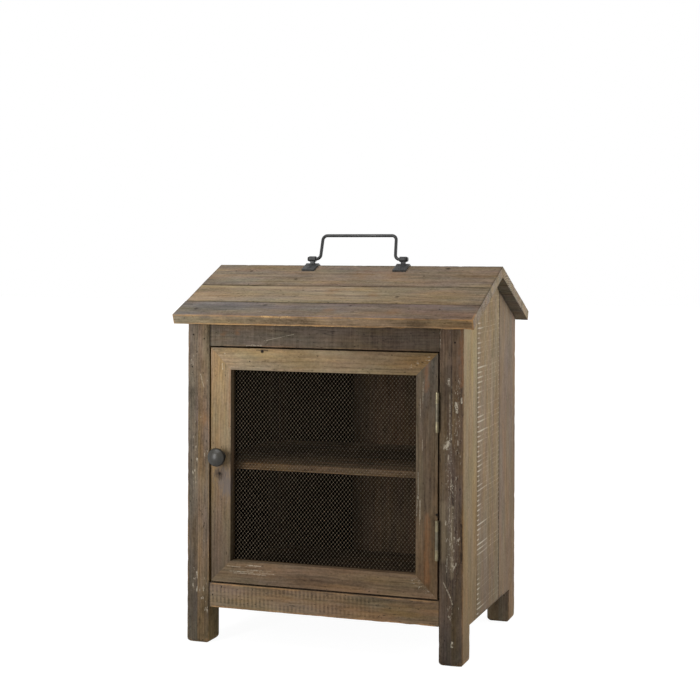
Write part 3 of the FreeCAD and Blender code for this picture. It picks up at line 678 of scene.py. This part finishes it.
eave_edge_pine = old_pine(
    "eave_edge_pine", (133, 119, 97), (114, 95, 71), patch=1.3, grey=0.6, rub=0.7, marks=marks_on(
        on_roof, ("fresh", 2.8, -88, 194, -44, 195), ("bloom", 9, -185, 197, -130, 197),
        ("bloom", 7, 10, 197, 60, 197)) + lower_arris)
end_pine = old_pine("end_pine", (140, 128, 110), streak=0.2, patch=0.5, rings=0.42, dirt=0.4)
verge_pine = old_pine("verge_pine", (134, 122, 105), streak=0.2, patch=0.8, rings=0.12, dirt=0.2)
under_pine = old_pine("under_pine", (110, 100, 84), streak=0.3, patch=0.5, dirt=0.0, rub=0.0)
print("roof finishes")

# %% [markdown]
# ## The carcass's finishes
# The posts are dark with flecks of old paint, the rails were sawn and never planed, and the side's middle
# plank shows the bite of the saw at its borders. Little light falls inside, and the inner faces of the sides,
# the left back board and the rear posts above the legs are given a near-black finish as painted shade, while
# the other back boards get a lit copy. The lamps alone leave parts of the inside too bright, so broad soft
# marks of painted shadow darken the left of the shelf and of the floor, and the upper right of the back.

# %% Carcass finishes
def inner_shade(width, start, end):
    """A broad soft patch of painted shade between two places inside the safe, in metres."""
    return [("shade", width, Vector(start), Vector(end))]

left_post_pine = old_pine(
    "left_post_pine", (93, 82, 67), (118, 103, 83), streak=0.3, patch=0.9, grey=1.0, flecks=0.2, dirt=0.6,
    marks=marks_on(on_front, ("nail", 1.5, -190, 462), ("scratch", 1.2, -196, 408, -191, 390),
                   ("bare", 12, -190, 340), ("crack", 1, -184, 500, -184, 440)))
left_leg_pine = old_pine(
    "left_leg_pine", (74, 67, 56), (112, 99, 85), streak=0.5, patch=1.1, flecks=0.3, dirt=0.2,
    marks=marks_on(on_front, ("nail", 1.5, -208, 468), ("nail", 1.5, -210, 419)))
right_post_marks = marks_on(
    on_front, ("crack", 0.8, 198.6, 492, 198.8, 322), ("crack", 1.6, 214, 205, 214, 150),
    ("rust", 5, 214.5, 486, 214.5, 405), ("rubbed", 6, 188, 232, 188, 154), ("rubbed", 5, 200, 228, 200, 130),
    ("nail", 1.5, 204, 465), ("dab", 3, 194, 411, 195, 405), ("dab", 4.2, 194, 321, 190, 314),
    ("dab", 1.9, 206, 379, 207, 366), ("dab", 1.3, 214, 386, 214, 379), ("dab", 1.8, 201, 35, 201, 29),
    ("scratch", 0.8, 196.5, 390, 196.7, 325), ("scratch", 1.1, 188, 120, 193, 110),
    ("scratch", 1.3, 193, 110, 198, 100), ("scratch", 1.3, 198, 100, 201, 90),
    ("flecks", 9, 207, 410, 206, 310), ("flecks", 8, 196, 345, 196, 255), ("flecks", 8, 202, 270, 201, 140),
    ("flecks", 5, 197, 85, 198, 60))
right_post_pine = old_pine(
    "right_post_pine", (70, 61, 51), (90, 75, 60), streak=0.5, patch=0.95, grey=1.0, pale=0.2, flecks=0.3,
    dirt=0.6, marks=right_post_marks + scratches("post", 5, (191, 150), (207, 290), (0, -24), 0.8))
top_rail_pine = old_pine(
    "top_rail_pine", (97, 87, 75), (66, 55, 43), ripple=0.06, pitch=0.0037, grey=0.7, streak=0.12, grain=0.35,
    cross=0.55, marks=marks_on(
        on_front, ("scratch", 0.5, -92, 461, -44, 472), ("dab", 1.8, -121, 453, -97, 453),
        ("rust", 6, -136, 473), ("rust", 6, -159, 471)))
bottom_rail_pine = old_pine(
    "bottom_rail_pine", (111, 97, 80), (100, 84, 64), ripple=0.45, grey=1.0, ripple_end=0.8, pitch=0.0064,
    slant=0.02, rub=0.4,
    marks=marks_on(on_front, ("nail", 1.5, -160, 88), ("nail", 1.5, -109, 87), ("nail", 1.5, -175, 75)))
print("front of the carcass finished")

# %% Sides, back and inside
front_plank_pine = old_pine(
    "front_plank_pine", (109, 90, 64), (151, 135, 104), streak=0.2, patch=0.4, grain=0.35, dirt=0.25)
PLANK_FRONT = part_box("right_side_middle_plank")[0].y
PLANK_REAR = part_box("right_side_middle_plank")[1].y
sawn_plank_pine = old_pine(
    "sawn_plank_pine", (109, 94, 74), (140, 123, 97), streak=0.3, patch=0.4, saw=0.3, pitch=0.0073,
    slant=0.015, dirt=0.4, borders=(PLANK_FRONT, PLANK_REAR))
rear_plank_pine = old_pine(
    "rear_plank_pine", (112, 95, 72), (122, 107, 92), streak=0.2, patch=0.4, grain=0.35)
# Pale on the legs and nearly black above them: the dark part is painted shade inside the safe.
rear_post_painted_shade_pine = old_pine(
    "rear_post_painted_shade_pine", (146, 131, 112), (30, 24, 18), rub=0.05, dirt=0.0, gloss=0.0, turn=(0.12, 0.19))
back_pine = old_pine("back_pine", (110, 94, 74), (120, 104, 84))
# The inner faces and the boards without a finish of their own are nearly black: painted shade.
painted_shade_inner_pine = old_pine("painted_shade_inner_pine", (17, 13, 10), rub=0.05, gloss=0.0)
FLOOR_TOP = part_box("floor_board_1")[1].z
# Its mark is a painted shadow of the left stile over the left of the floor.
floor_pine_painted_shadow = old_pine("floor_pine_painted_shadow", (84, 68, 52), rub=0.05, gloss=0.0,
                      marks=inner_shade(0.19, (-0.2, -0.1, FLOOR_TOP), (-0.06, 0.15, FLOOR_TOP)))
bead_pine = old_pine("bead_pine", (84, 69, 52), rub=0.3, gloss=0.0)
BACK_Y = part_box("back_board_3")[0].y
# A lit copy of the inner wood for the right back boards, with a painted shadow at the upper right.
lit_inner_pine = old_pine("lit_inner_pine", (66, 53, 41), rub=0.05, gloss=0.0,
                          marks=inner_shade(0.036, (0.199, BACK_Y, 0.52), (0.196, BACK_Y, 0.40)))
leg_inner_pine = old_pine("leg_inner_pine", (144, 126, 92), gloss=0.05)
SHELF_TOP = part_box("shelf_board_1")[1].z
# Its mark is a painted shadow of the left stile over the left of the shelf.
shelf_pine_painted_shadow = old_pine("shelf_pine_painted_shadow", (92, 76, 58), rub=0.1, gloss=0.0,
                      marks=inner_shade(0.15, (-0.18, 0.02, SHELF_TOP), (0.1, 0.04, SHELF_TOP)))
print("sides and inside finished")

# %% [markdown]
# ## Which board gets which finish
# A word in a board's name picks its finish, and a direction picks the finish of a side that differs, such as
# the inner face of a plank. With both in tables, one short loop can make all the boards.

# %% Dress the carcass
ROOF_WEAR = 0.0014
PLANK_ARRIS = 0.0009
RIGHT = Vector((1, 0, 0))
BACK = Vector((0, 1, 0))
DOWN = Vector((0, 0, -1))
tones = {
    "front_plank": front_plank_pine, "middle_plank": sawn_plank_pine, "rear_plank": rear_plank_pine,
    "left_front_post": left_post_pine, "right_front_post": right_post_pine, "rear_post": rear_post_painted_shade_pine,
    "front_top_rail": top_rail_pine, "front_bottom_rail": bottom_rail_pine,
    "roof_ridge": ridge_pine, "roof_middle": middle_roof_pine, "roof_eave": eave_pine,
    "shelf_board": shelf_pine_painted_shadow, "floor_board": floor_pine_painted_shadow, "bead": bead_pine,
    # The left back board is left to the near-black default, which is painted shade.
    "back_board_2": lit_inner_pine, "back_board_3": lit_inner_pine,
}
other_faces = {"left_front_post": [(RIGHT, leg_inner_pine)]}
# The inner faces of both sides are nearly black, and so are the rear posts above the legs: painted shade.
for side, inward, leg in (("left", RIGHT, left_leg_pine), ("right", -RIGHT, right_post_pine)):
    for place in ("front", "middle", "rear"):
        other_faces[f"{side}_side_{place}_plank"] = [(inward, painted_shade_inner_pine)]
    other_faces[f"{side}_side_front_plank"].append((-BACK, leg))
    other_faces[f"{side}_side_rear_plank"].append((-BACK, rear_post_painted_shade_pine))
    other_faces[f"{side}_rear_post"] = [(BACK, back_pine)]
for board in (1, 2, 3):
    other_faces[f"back_board_{board}"] = [(BACK, back_pine)]
for slope, outward, cut_end in (("front", -BACK, verge_pine), ("rear", BACK, end_pine)):
    for row in ("ridge", "middle", "eave"):
        other_faces[f"{slope}_roof_{row}_board"] = [(RIGHT, cut_end), (-RIGHT, cut_end), (DOWN, under_pine)]
    other_faces[f"{slope}_roof_eave_board"].append((outward, eave_edge_pine))
door_members = ("door_left_stile", "door_right_stile", "door_top_rail", "door_bottom_rail")
# Boards without a finish in the table get the near-black painted shade.
for name in wooden:
    if name not in door_members:
        finish = next((tone for word, tone in tones.items() if word in name), painted_shade_inner_pine)
        depth = ROOF_WEAR if "roof" in name else WEAR
        arris = PLANK_ARRIS if "plank" in name else ARRIS
        dress_board(name, finish, other_faces.get(name, ()), depth=depth, arris=arris)
print("dressed", len(wooden) - len(door_members), "boards")

# %% [markdown]
# ## The mitred door
# Each member of the door is a strip with a rebate at its back, cut at 45 degrees at both ends. One L-shaped
# outline is extruded to the member's length and sliced by two planes, then turned to its side of the door.
# The closing edge has been planed to clear the post, a little more towards the bottom.

# %% Door members
OUTWARD = {"door_left_stile": (-1, 0, 0), "door_right_stile": (1, 0, 0),
           "door_top_rail": (0, 0, 1), "door_bottom_rail": (0, 0, -1)}

PLANED_TOP = 0.46
PLANED_SLOPE = 0.0052

def slice_off(bm, place, outward):
    """Cut away all that lies beyond a plane and close the cut."""
    cut = bmesh.ops.bisect_plane(bm, geom=bm.verts[:] + bm.edges[:] + bm.faces[:], clear_outer=True,
                                 plane_co=place, plane_no=outward)
    bmesh.ops.holes_fill(bm, edges=[e for e in cut["geom_cut"] if isinstance(e, bmesh.types.BMEdge)])

def mitred_member(name):
    """A rebated, mitred strip in the place of its node."""
    low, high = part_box(name)
    net_low, net_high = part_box("door_mesh")
    out = Vector(OUTWARD[name])
    into = -out
    run = into.cross(Vector((0, 1, 0)))
    width = abs((high - low).dot(out))
    length = abs((high - low).dot(run))
    rebate = width - (max(net_high.dot(out), net_low.dot(out)) - min(high.dot(out), low.dot(out)))
    uncut = length + 2 * width
    bm = bmesh.new()
    outline = [(0, low.y), (width, low.y), (width, net_low.y), (rebate, net_low.y), (rebate, high.y),
               (0, high.y)]
    section = bm.faces.new([bm.verts.new((x, y, -uncut / 2)) for x, y in outline])
    grown = bmesh.ops.extrude_face_region(bm, geom=[section])
    bmesh.ops.translate(bm, verts=[v for v in grown["geom"] if isinstance(v, bmesh.types.BMVert)],
                        vec=(0, 0, uncut))
    for end in (-1, 1):
        slice_off(bm, (0, 0, end * length / 2), (1, 0, end))
    bmesh.ops.recalc_face_normals(bm, faces=bm.faces)
    edge = max(high.dot(out), low.dot(out))
    middle = (low + high) / 2
    corner = Vector((middle.x * abs(run.x), 0, middle.z * abs(run.z))) + out * edge
    place = Matrix.Translation(corner) @ Matrix((into, (0, 1, 0), run)).transposed().to_4x4()
    bmesh.ops.transform(bm, matrix=place, verts=bm.verts)
    if low.x < 0 and name != "door_top_rail":
        slice_off(bm, (low.x, 0, PLANED_TOP), (-1, 0, -PLANED_SLOPE))
        bmesh.ops.recalc_face_normals(bm, faces=bm.faces)
    return bm

print("door members ready")

# %% [markdown]
# ## The door's finishes
# The door was framed from four odd boards: a pale left stile with a knot, a top rail with one hole, and a
# darker right stile and bottom rail that are scratched. Small scratches look alike, so those are strewn at
# random from a fixed seed, and only the marks that stand out are placed one by one.

# %% Dress the door
left_stile_pine = old_pine(
    "left_stile_pine", (81, 69, 56), (149, 130, 102), streak=0.3, patch=0.4, grain=0.35, marks=marks_on(
        on_front, ("stain", 17, -160, 258, -152, 238), ("stain", 12, -155, 256, -150, 236),
        ("knot", 10, -164, 258), ("nail", 3.2, -164, 259), ("dab", 1.5, -160, 425, -159, 417),
        ("bare", 3, -148, 420, -148, 330)))
door_top_pine = old_pine(
    "door_top_pine", (148, 132, 106), (102, 83, 57), streak=0.25, patch=0.55, grain=0.4, marks=marks_on(
        on_front, ("hole", 3.4, -95, 445), ("crack", 1.4, -104, 447, -86, 447), ("nail", 1.4, -115, 430),
        ("nail", 1.4, -162, 428), ("dab", 1.8, -156, 441), ("flecks", 6, 138, 430, 168, 440)))
right_stile_pine = old_pine(
    "right_stile_pine", (85, 68, 49), (85, 77, 65), streak=0.6, pale=0.3, marks=marks_on(
        on_front, ("rust", 5, 162, 437, 162, 395), ("rust", 6, 163, 214, 163, 120), ("hole", 2.6, 178, 217))
    + scratches("right stile", 8, (148, 220), (160, 415), (0, -36), 0.6))
door_bottom_pine = old_pine(
    "door_bottom_pine", (97, 83, 67), (100, 81, 59), streak=0.6, pale=0.35,
    marks=scratches("door bottom", 18, (-158, 106), (-95, 124), (30, 0), 0.45)
    + marks_on(on_front, ("flecks", 7, 143, 119, 168, 104)))
door_tones = (left_stile_pine, right_stile_pine, door_top_pine, door_bottom_pine)
for name, finish in zip(door_members, door_tones):
    dress_board(name, finish, bm=mitred_member(name))
print("door framed")

# %% [markdown]
# ## The wire net
# The net is fine wire, woven on the slant so that its cells stand as upright diamonds. A flat sheet with a
# pattern of holes would not catch the light as round wire does. So each wire is a curve with a round bevel.
# It has one point at every crossing, in front of the other wires and behind them by turns.

# %% Woven net
CELL_W = 0.0057
CELL_H = 0.0068
WIRE_R = 0.00018

def round_wire(name, radius, fineness):
    """An empty curve with a round section."""
    curve = bpy.data.curves.new(name, "CURVE")
    curve.dimensions = "3D"
    curve.bevel_depth = radius
    curve.bevel_resolution = fineness
    return curve

def as_mesh(curve):
    """The mesh of a curve, which is then removed."""
    carrier = bpy.data.objects.new(curve.name, curve)
    mesh = bpy.data.meshes.new_from_object(carrier)
    bpy.data.objects.remove(carrier)
    bpy.data.curves.remove(curve)
    return mesh

def woven_net():
    """All wires of the net, as one mesh."""
    low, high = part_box("door_mesh")
    middle = (low.y + high.y) / 2
    columns = int((high.x - low.x) / CELL_W) * 2
    rows = int((high.z - low.z) / CELL_H) * 2
    curve = round_wire("net", WIRE_R, 1)
    for lean in (1, -1):
        starts = range(-rows, columns + 1, 2) if lean > 0 else range(0, columns + rows + 1, 2)
        for start in starts:
            steps = [(start + lean * k, k) for k in range(rows + 1) if 0 <= start + lean * k <= columns]
            if len(steps) < 2:
                continue
            wire = curve.splines.new("POLY")
            wire.points.add(len(steps) - 1)
            for point, (column, row) in zip(wire.points, steps):
                over = lean * (1 if row % 2 else -1)
                point.co = (low.x + column * CELL_W / 2, middle + over * WIRE_R * 0.8,
                            low.z + row * CELL_H / 2, 1.0)
    return as_mesh(curve)

def wire_with_painted_light():
    """Dark wire with painted light: paler wires that rise, and painted glints where both slants meet."""
    wire = Finish("wire_with_painted_light", Roughness=0.5, Specular_IOR_Level=0.05)
    place = wire.place()
    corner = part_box("door_mesh")[0]
    offset = wire.vectors("SUBTRACT", place, corner)
    away = []
    for lean in (1, -1):
        cells = wire.vectors("DOT_PRODUCT", offset, (1 / CELL_W, 0.0, lean / CELL_H))
        away.append(wire.sums("PINGPONG", cells, 0.5))
    # Painted glints: 1 at the crossings of the wires, 0 between them.
    knuckle_glint = wire.fade(wire.sums("MAXIMUM", *away), 0.32, 0.12)
    dull = wire.noise(place, scale=140.0, detail=3.0)
    # The colour of the painted glints.
    rubbed = wire.ramp(dull, (0.35, srgb(112, 100, 84)), (0.65, srgb(144, 130, 110)))
    # Painted light: the wires of one slant are paler than the others.
    rising = wire.fade(wire.sums("SUBTRACT", *away), 0.0, 0.1)
    bare = wire.mix(rising, srgb(74, 66, 54), srgb(94, 84, 70))
    wire.give("Base Color", wire.mix(knuckle_glint, bare, rubbed))
    return wire.material

net = new_piece("woven_net", woven_net(), [wire_with_painted_light()])
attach(net, "door")
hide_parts("door_mesh")
print("net of", len(net.data.polygons), "faces")

# %% [markdown]
# ## Metal fittings
# The bail and its saddles are blackened iron, rubbed where hands and screws touch, and the hinges are brass
# gone dull. Their CAD shapes are right already, so these only get a finish: one function for all metals, with
# two tones that noise mixes, and a polish that follows them.

# %% Iron and brass
def metal(name, dark, light, roughness, speck, metallic=1.0):
    """A worn metal with a mottled colour, uneven polish and a slightly pitted skin."""
    skin = Finish(name, Metallic=metallic)
    place = skin.place()
    cloud = skin.noise(place, scale=speck, detail=5.0, roughness=0.65)
    pits = skin.noise(place, scale=speck * 9, detail=2.0)
    skin.give("Base Color", skin.ramp(cloud, (0.36, srgb(*dark)), (0.66, srgb(*light))))
    skin.give("Roughness", skin.fade(cloud, 0.3, 0.7, roughness + 0.12, roughness - 0.1))
    skin.bump(pits, 0.25, 0.0003)
    return skin.material

iron = metal("blackened_iron", (24, 24, 25), (44, 44, 43), 0.55, 160.0, 0.2)
plate_iron = metal("plate_iron", (36, 36, 37), (60, 60, 59), 0.5, 160.0, 0.2)
screw_iron = metal("screw_iron", (13, 13, 13), (24, 24, 24), 0.5, 160.0, 0.1)
drawn_iron = metal("drawn_iron", (24, 24, 25), (35, 35, 34), 0.42, 60.0, 0.3)
brass = metal("dull_brass", (96, 88, 66), (130, 120, 93), 0.34, 120.0, 0.55)
dark_brass = metal("dark_brass", (73, 67, 54), (102, 95, 78), 0.4, 120.0, 0.55)
steel = metal("zinc_steel", (150, 150, 150), (195, 195, 195), 0.35, 200.0)
brown_plastic = metal("brown_moulding", (66, 48, 36), (84, 64, 48), 0.5, 120.0, 0.0)
knob_iron = metal("rubbed_iron", (22, 20, 14), (39, 35, 26), 0.42, 90.0, 0.0)
finish_of_slot = {"dark_iron": iron, "hinge_brass": brass, "bright_steel": steel,
                  "catch_plastic": brown_plastic}
own_finish = {"lower_hinge_door_leaf": dark_brass, "upper_hinge_door_leaf": dark_brass,
              "left_saddle": plate_iron, "right_saddle": plate_iron, "saddle_screws": screw_iron}
for name, node in frame["nodes"].items():
    if slot_of[name] in finish_of_slot:
        node.data.materials.clear()
        node.data.materials.append(own_finish.get(name, finish_of_slot[slot_of[name]]))
print("metal fittings finished")

# %% [markdown]
# ## The knob
# The knob is an iron mushroom with a waisted neck, turned on a lathe. It could keep its CAD shape, but a
# smooth round form shows every facet. So its outline is spun round the axis again, in finer steps.

# %% Turned knob
def arc(centre, radius, start, end, count=9):
    """Points on an arc of a knob's outline: distance from the axis, distance from the door."""
    angles = [math.radians(start + (end - start) * i / (count - 1)) for i in range(count)]
    return [(centre[0] + radius * math.cos(a), centre[1] + radius * math.sin(a)) for a in angles]

def turned_knob():
    """A mushroom knob: a base, a waisted neck, a rolled rim and a domed face."""
    low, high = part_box("door_knob")
    outline = [(0, 0), (7.9, 0), (8.5, 0.5), (8.5, 1.3), (7.9, 1.8), (6.3, 2.8), (5.6, 4.5), (5.5, 8.6),
               (6.6, 10.2)]
    outline += arc((9.0, 16.0), 5.0, -70, 42.1) + arc((0.0, 7.87), 17.13, 42.1, 90)[1:]
    bm = bmesh.new()
    points = [bm.verts.new((x / 1000, 0.0, out / 1000)) for x, out in outline]
    edges_of_outline = [bm.edges.new(pair) for pair in zip(points, points[1:])]
    bmesh.ops.spin(bm, geom=points + edges_of_outline, axis=(0, 0, 1), cent=(0, 0, 0), angle=2 * math.pi,
                   steps=64, use_merge=True)
    bmesh.ops.remove_doubles(bm, verts=bm.verts, dist=1e-6)
    bmesh.ops.recalc_face_normals(bm, faces=bm.faces)
    middle = Vector(((low.x + high.x) / 2, high.y, (low.z + high.z) / 2))
    place = Matrix.Translation(middle) @ Matrix.Rotation(math.pi / 2, 4, "X")
    bmesh.ops.transform(bm, matrix=place, verts=bm.verts)
    mesh = bpy.data.meshes.new("turned_knob")
    bm.to_mesh(mesh)
    bm.free()
    return mesh

knob = new_piece("turned_knob", turned_knob(), [knob_iron])
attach(knob, "door")
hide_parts("door_knob")
print("knob of", len(knob.data.polygons), "faces")

# %% [markdown]
# ## The carrying bail
# The bail is one drawn wire, bent at four corners. A chain of cylinders would show its joints, so it is a
# curve again: its path is a row of corners, each rounded by a short bend. The wire is a little thinner where
# it turns in its eyes, and its ends are peened over so that it can't slip out.

# %% Drawn bail
BAIL_LEAN = math.radians(-15)
WIRE = 2.5
IN_EYE = 2.3
PEENED = 3.4

def rounded_path(corners, radius):
    """A path through square corners, each one rounded."""
    path = [corners[0]]
    for before, corner, after in zip(corners, corners[1:], corners[2:]):
        start = corner + (before - corner).normalized() * radius
        end = corner + (after - corner).normalized() * radius
        path += interpolate_bezier(start, start.lerp(corner, 0.55), end.lerp(corner, 0.55), end, 9)
    return path + [corners[-1]]

def drawn_bail():
    """The bail as a mesh, leaning back as it rests."""
    hinge = next(j for j in frame["record"]["behaviour"]["joints"] if j["name"] == "bail_hinge")
    half = [(-69.6, 0.0), (-62.5, 0.0), (-61.1, 38.5)]
    corners = [Vector((x, 0, up)) for x, up in half + [(-x, up) for x, up in reversed(half)]]
    bend = [(point, WIRE) for point in rounded_path(corners, 7.0)]
    thickness = ((-83.2, PEENED), (-81.6, PEENED), (-81.59, IN_EYE), (-70.0, IN_EYE))
    ends = [(Vector((x, 0, 0)), thick) for x, thick in thickness]
    ends_right = [(Vector((-point.x, 0, 0)), thick) for point, thick in reversed(ends)]
    curve = round_wire("bail", 0.001, 6)
    curve.use_fill_caps = True
    wire = curve.splines.new("POLY")
    way = ends + bend + ends_right
    wire.points.add(len(way) - 1)
    place = Matrix.Translation(hinge["pos_m"]) @ Matrix.Rotation(BAIL_LEAN, 4, "X") @ Matrix.Scale(0.001, 4)
    for point, (spot, thick) in zip(wire.points, way):
        point.co = (*(place @ spot), 1.0)
        point.radius = thick
    return as_mesh(curve)

bail = new_piece("drawn_bail", drawn_bail(), [drawn_iron])
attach(bail, "carry_handle")
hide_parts("bail_handle")
print("bail of", len(bail.data.polygons), "faces")

# %% [markdown]
# ## Light
# The picture is taken in a white studio. A tall soft lamp stands at the front, a little to the left, which
# puts the stile's shadow on the shelf. A second one lights the right side, and a third the roof from above.
# Bare point lamps would give hard shadows, which the picture doesn't have.

# %% Lamps
def soft_lamp(name, place, target, size, power):
    """A rectangular lamp that faces a point."""
    lamp = bpy.data.objects.new(name, bpy.data.lights.new(name, "AREA"))
    lamp.data.shape = "RECTANGLE"
    lamp.data.size, lamp.data.size_y = size
    lamp.data.energy = power
    lamp.location = place
    lamp.rotation_euler = (Vector(target) - Vector(place)).to_track_quat("-Z", "Y").to_euler()
    bpy.context.scene.collection.objects.link(lamp)

middle_of_safe = (0.0, 0.0, 0.3)
soft_lamp("front_lamp", (-0.62, -1.5, 0.52), middle_of_safe, (0.14, 0.9), 16.5)
soft_lamp("right_lamp", (2.2, 0.6, 0.9), middle_of_safe, (1.2, 1.6), 35.4)
soft_lamp("top_lamp", (-0.3, -0.9, 2.4), middle_of_safe, (1.6, 1.6), 24.0)
print("three lamps")

# %% [markdown]
# ## White surroundings and floor
# More light would turn the floor white, but it would bleach the safe too. So the floor and the surroundings
# look white only to the camera and in reflections, and shed little light on the safe. For those rays the
# floor's own colour is dark and a glow makes it white, so it still keeps a faint shadow.

# %% White surroundings and floor
def seen_directly(tree):
    """1 for rays from the camera, a reflection or a clear piece, 0 for light that falls on things."""
    rays = tree.nodes.new("ShaderNodeLightPath").outputs
    total = rays["Is Camera Ray"]
    for kind in ("Is Glossy Ray", "Is Transmission Ray"):
        either = tree.nodes.new("ShaderNodeMath")
        either.operation = "MAXIMUM"
        tree.links.new(total, either.inputs[0])
        tree.links.new(rays[kind], either.inputs[1])
        total = either.outputs[0]
    return total

AMBIENT = 0.05
PAPER_LIT = (0.6, 0.6, 0.6)
PAPER_SEEN = (0.1, 0.1, 0.1)
FLOOR_SIZE = 15.0
world = bpy.data.worlds.new("white_studio")
world.use_nodes = True
sky = world.node_tree.nodes["Background"]
level = world.node_tree.nodes.new("ShaderNodeMapRange")
level.inputs["To Min"].default_value = AMBIENT
world.node_tree.links.new(seen_directly(world.node_tree), level.inputs["Value"])
world.node_tree.links.new(level.outputs[0], sky.inputs["Strength"])
sky.inputs["Color"].default_value = (1.0, 1.0, 1.0, 1.0)
bpy.context.scene.world = world

paper = Finish("white_paper", Roughness=0.9, Emission_Color=(1.0, 1.0, 1.0, 1.0))
direct = seen_directly(paper.tree)
paper.give("Base Color", paper.mix(direct, PAPER_LIT, PAPER_SEEN))
reach = paper.vectors("LENGTH", paper.place())
glow = paper.fade(reach, 0.3, 0.9, 0.95, 1.0)
paper.give("Emission Strength", paper.product(direct, glow))
floor_bm = bmesh.new()
bmesh.ops.create_grid(floor_bm, x_segments=1, y_segments=1, size=FLOOR_SIZE)
floor_mesh = bpy.data.meshes.new("floor")
floor_bm.to_mesh(floor_mesh)
floor_bm.free()
floor_mesh.materials.append(paper.material)
floor = bpy.data.objects.new("floor", floor_mesh)
bpy.context.scene.collection.objects.link(floor)
bpy.context.scene.view_settings.view_transform = "Standard"
print("white floor and surroundings")
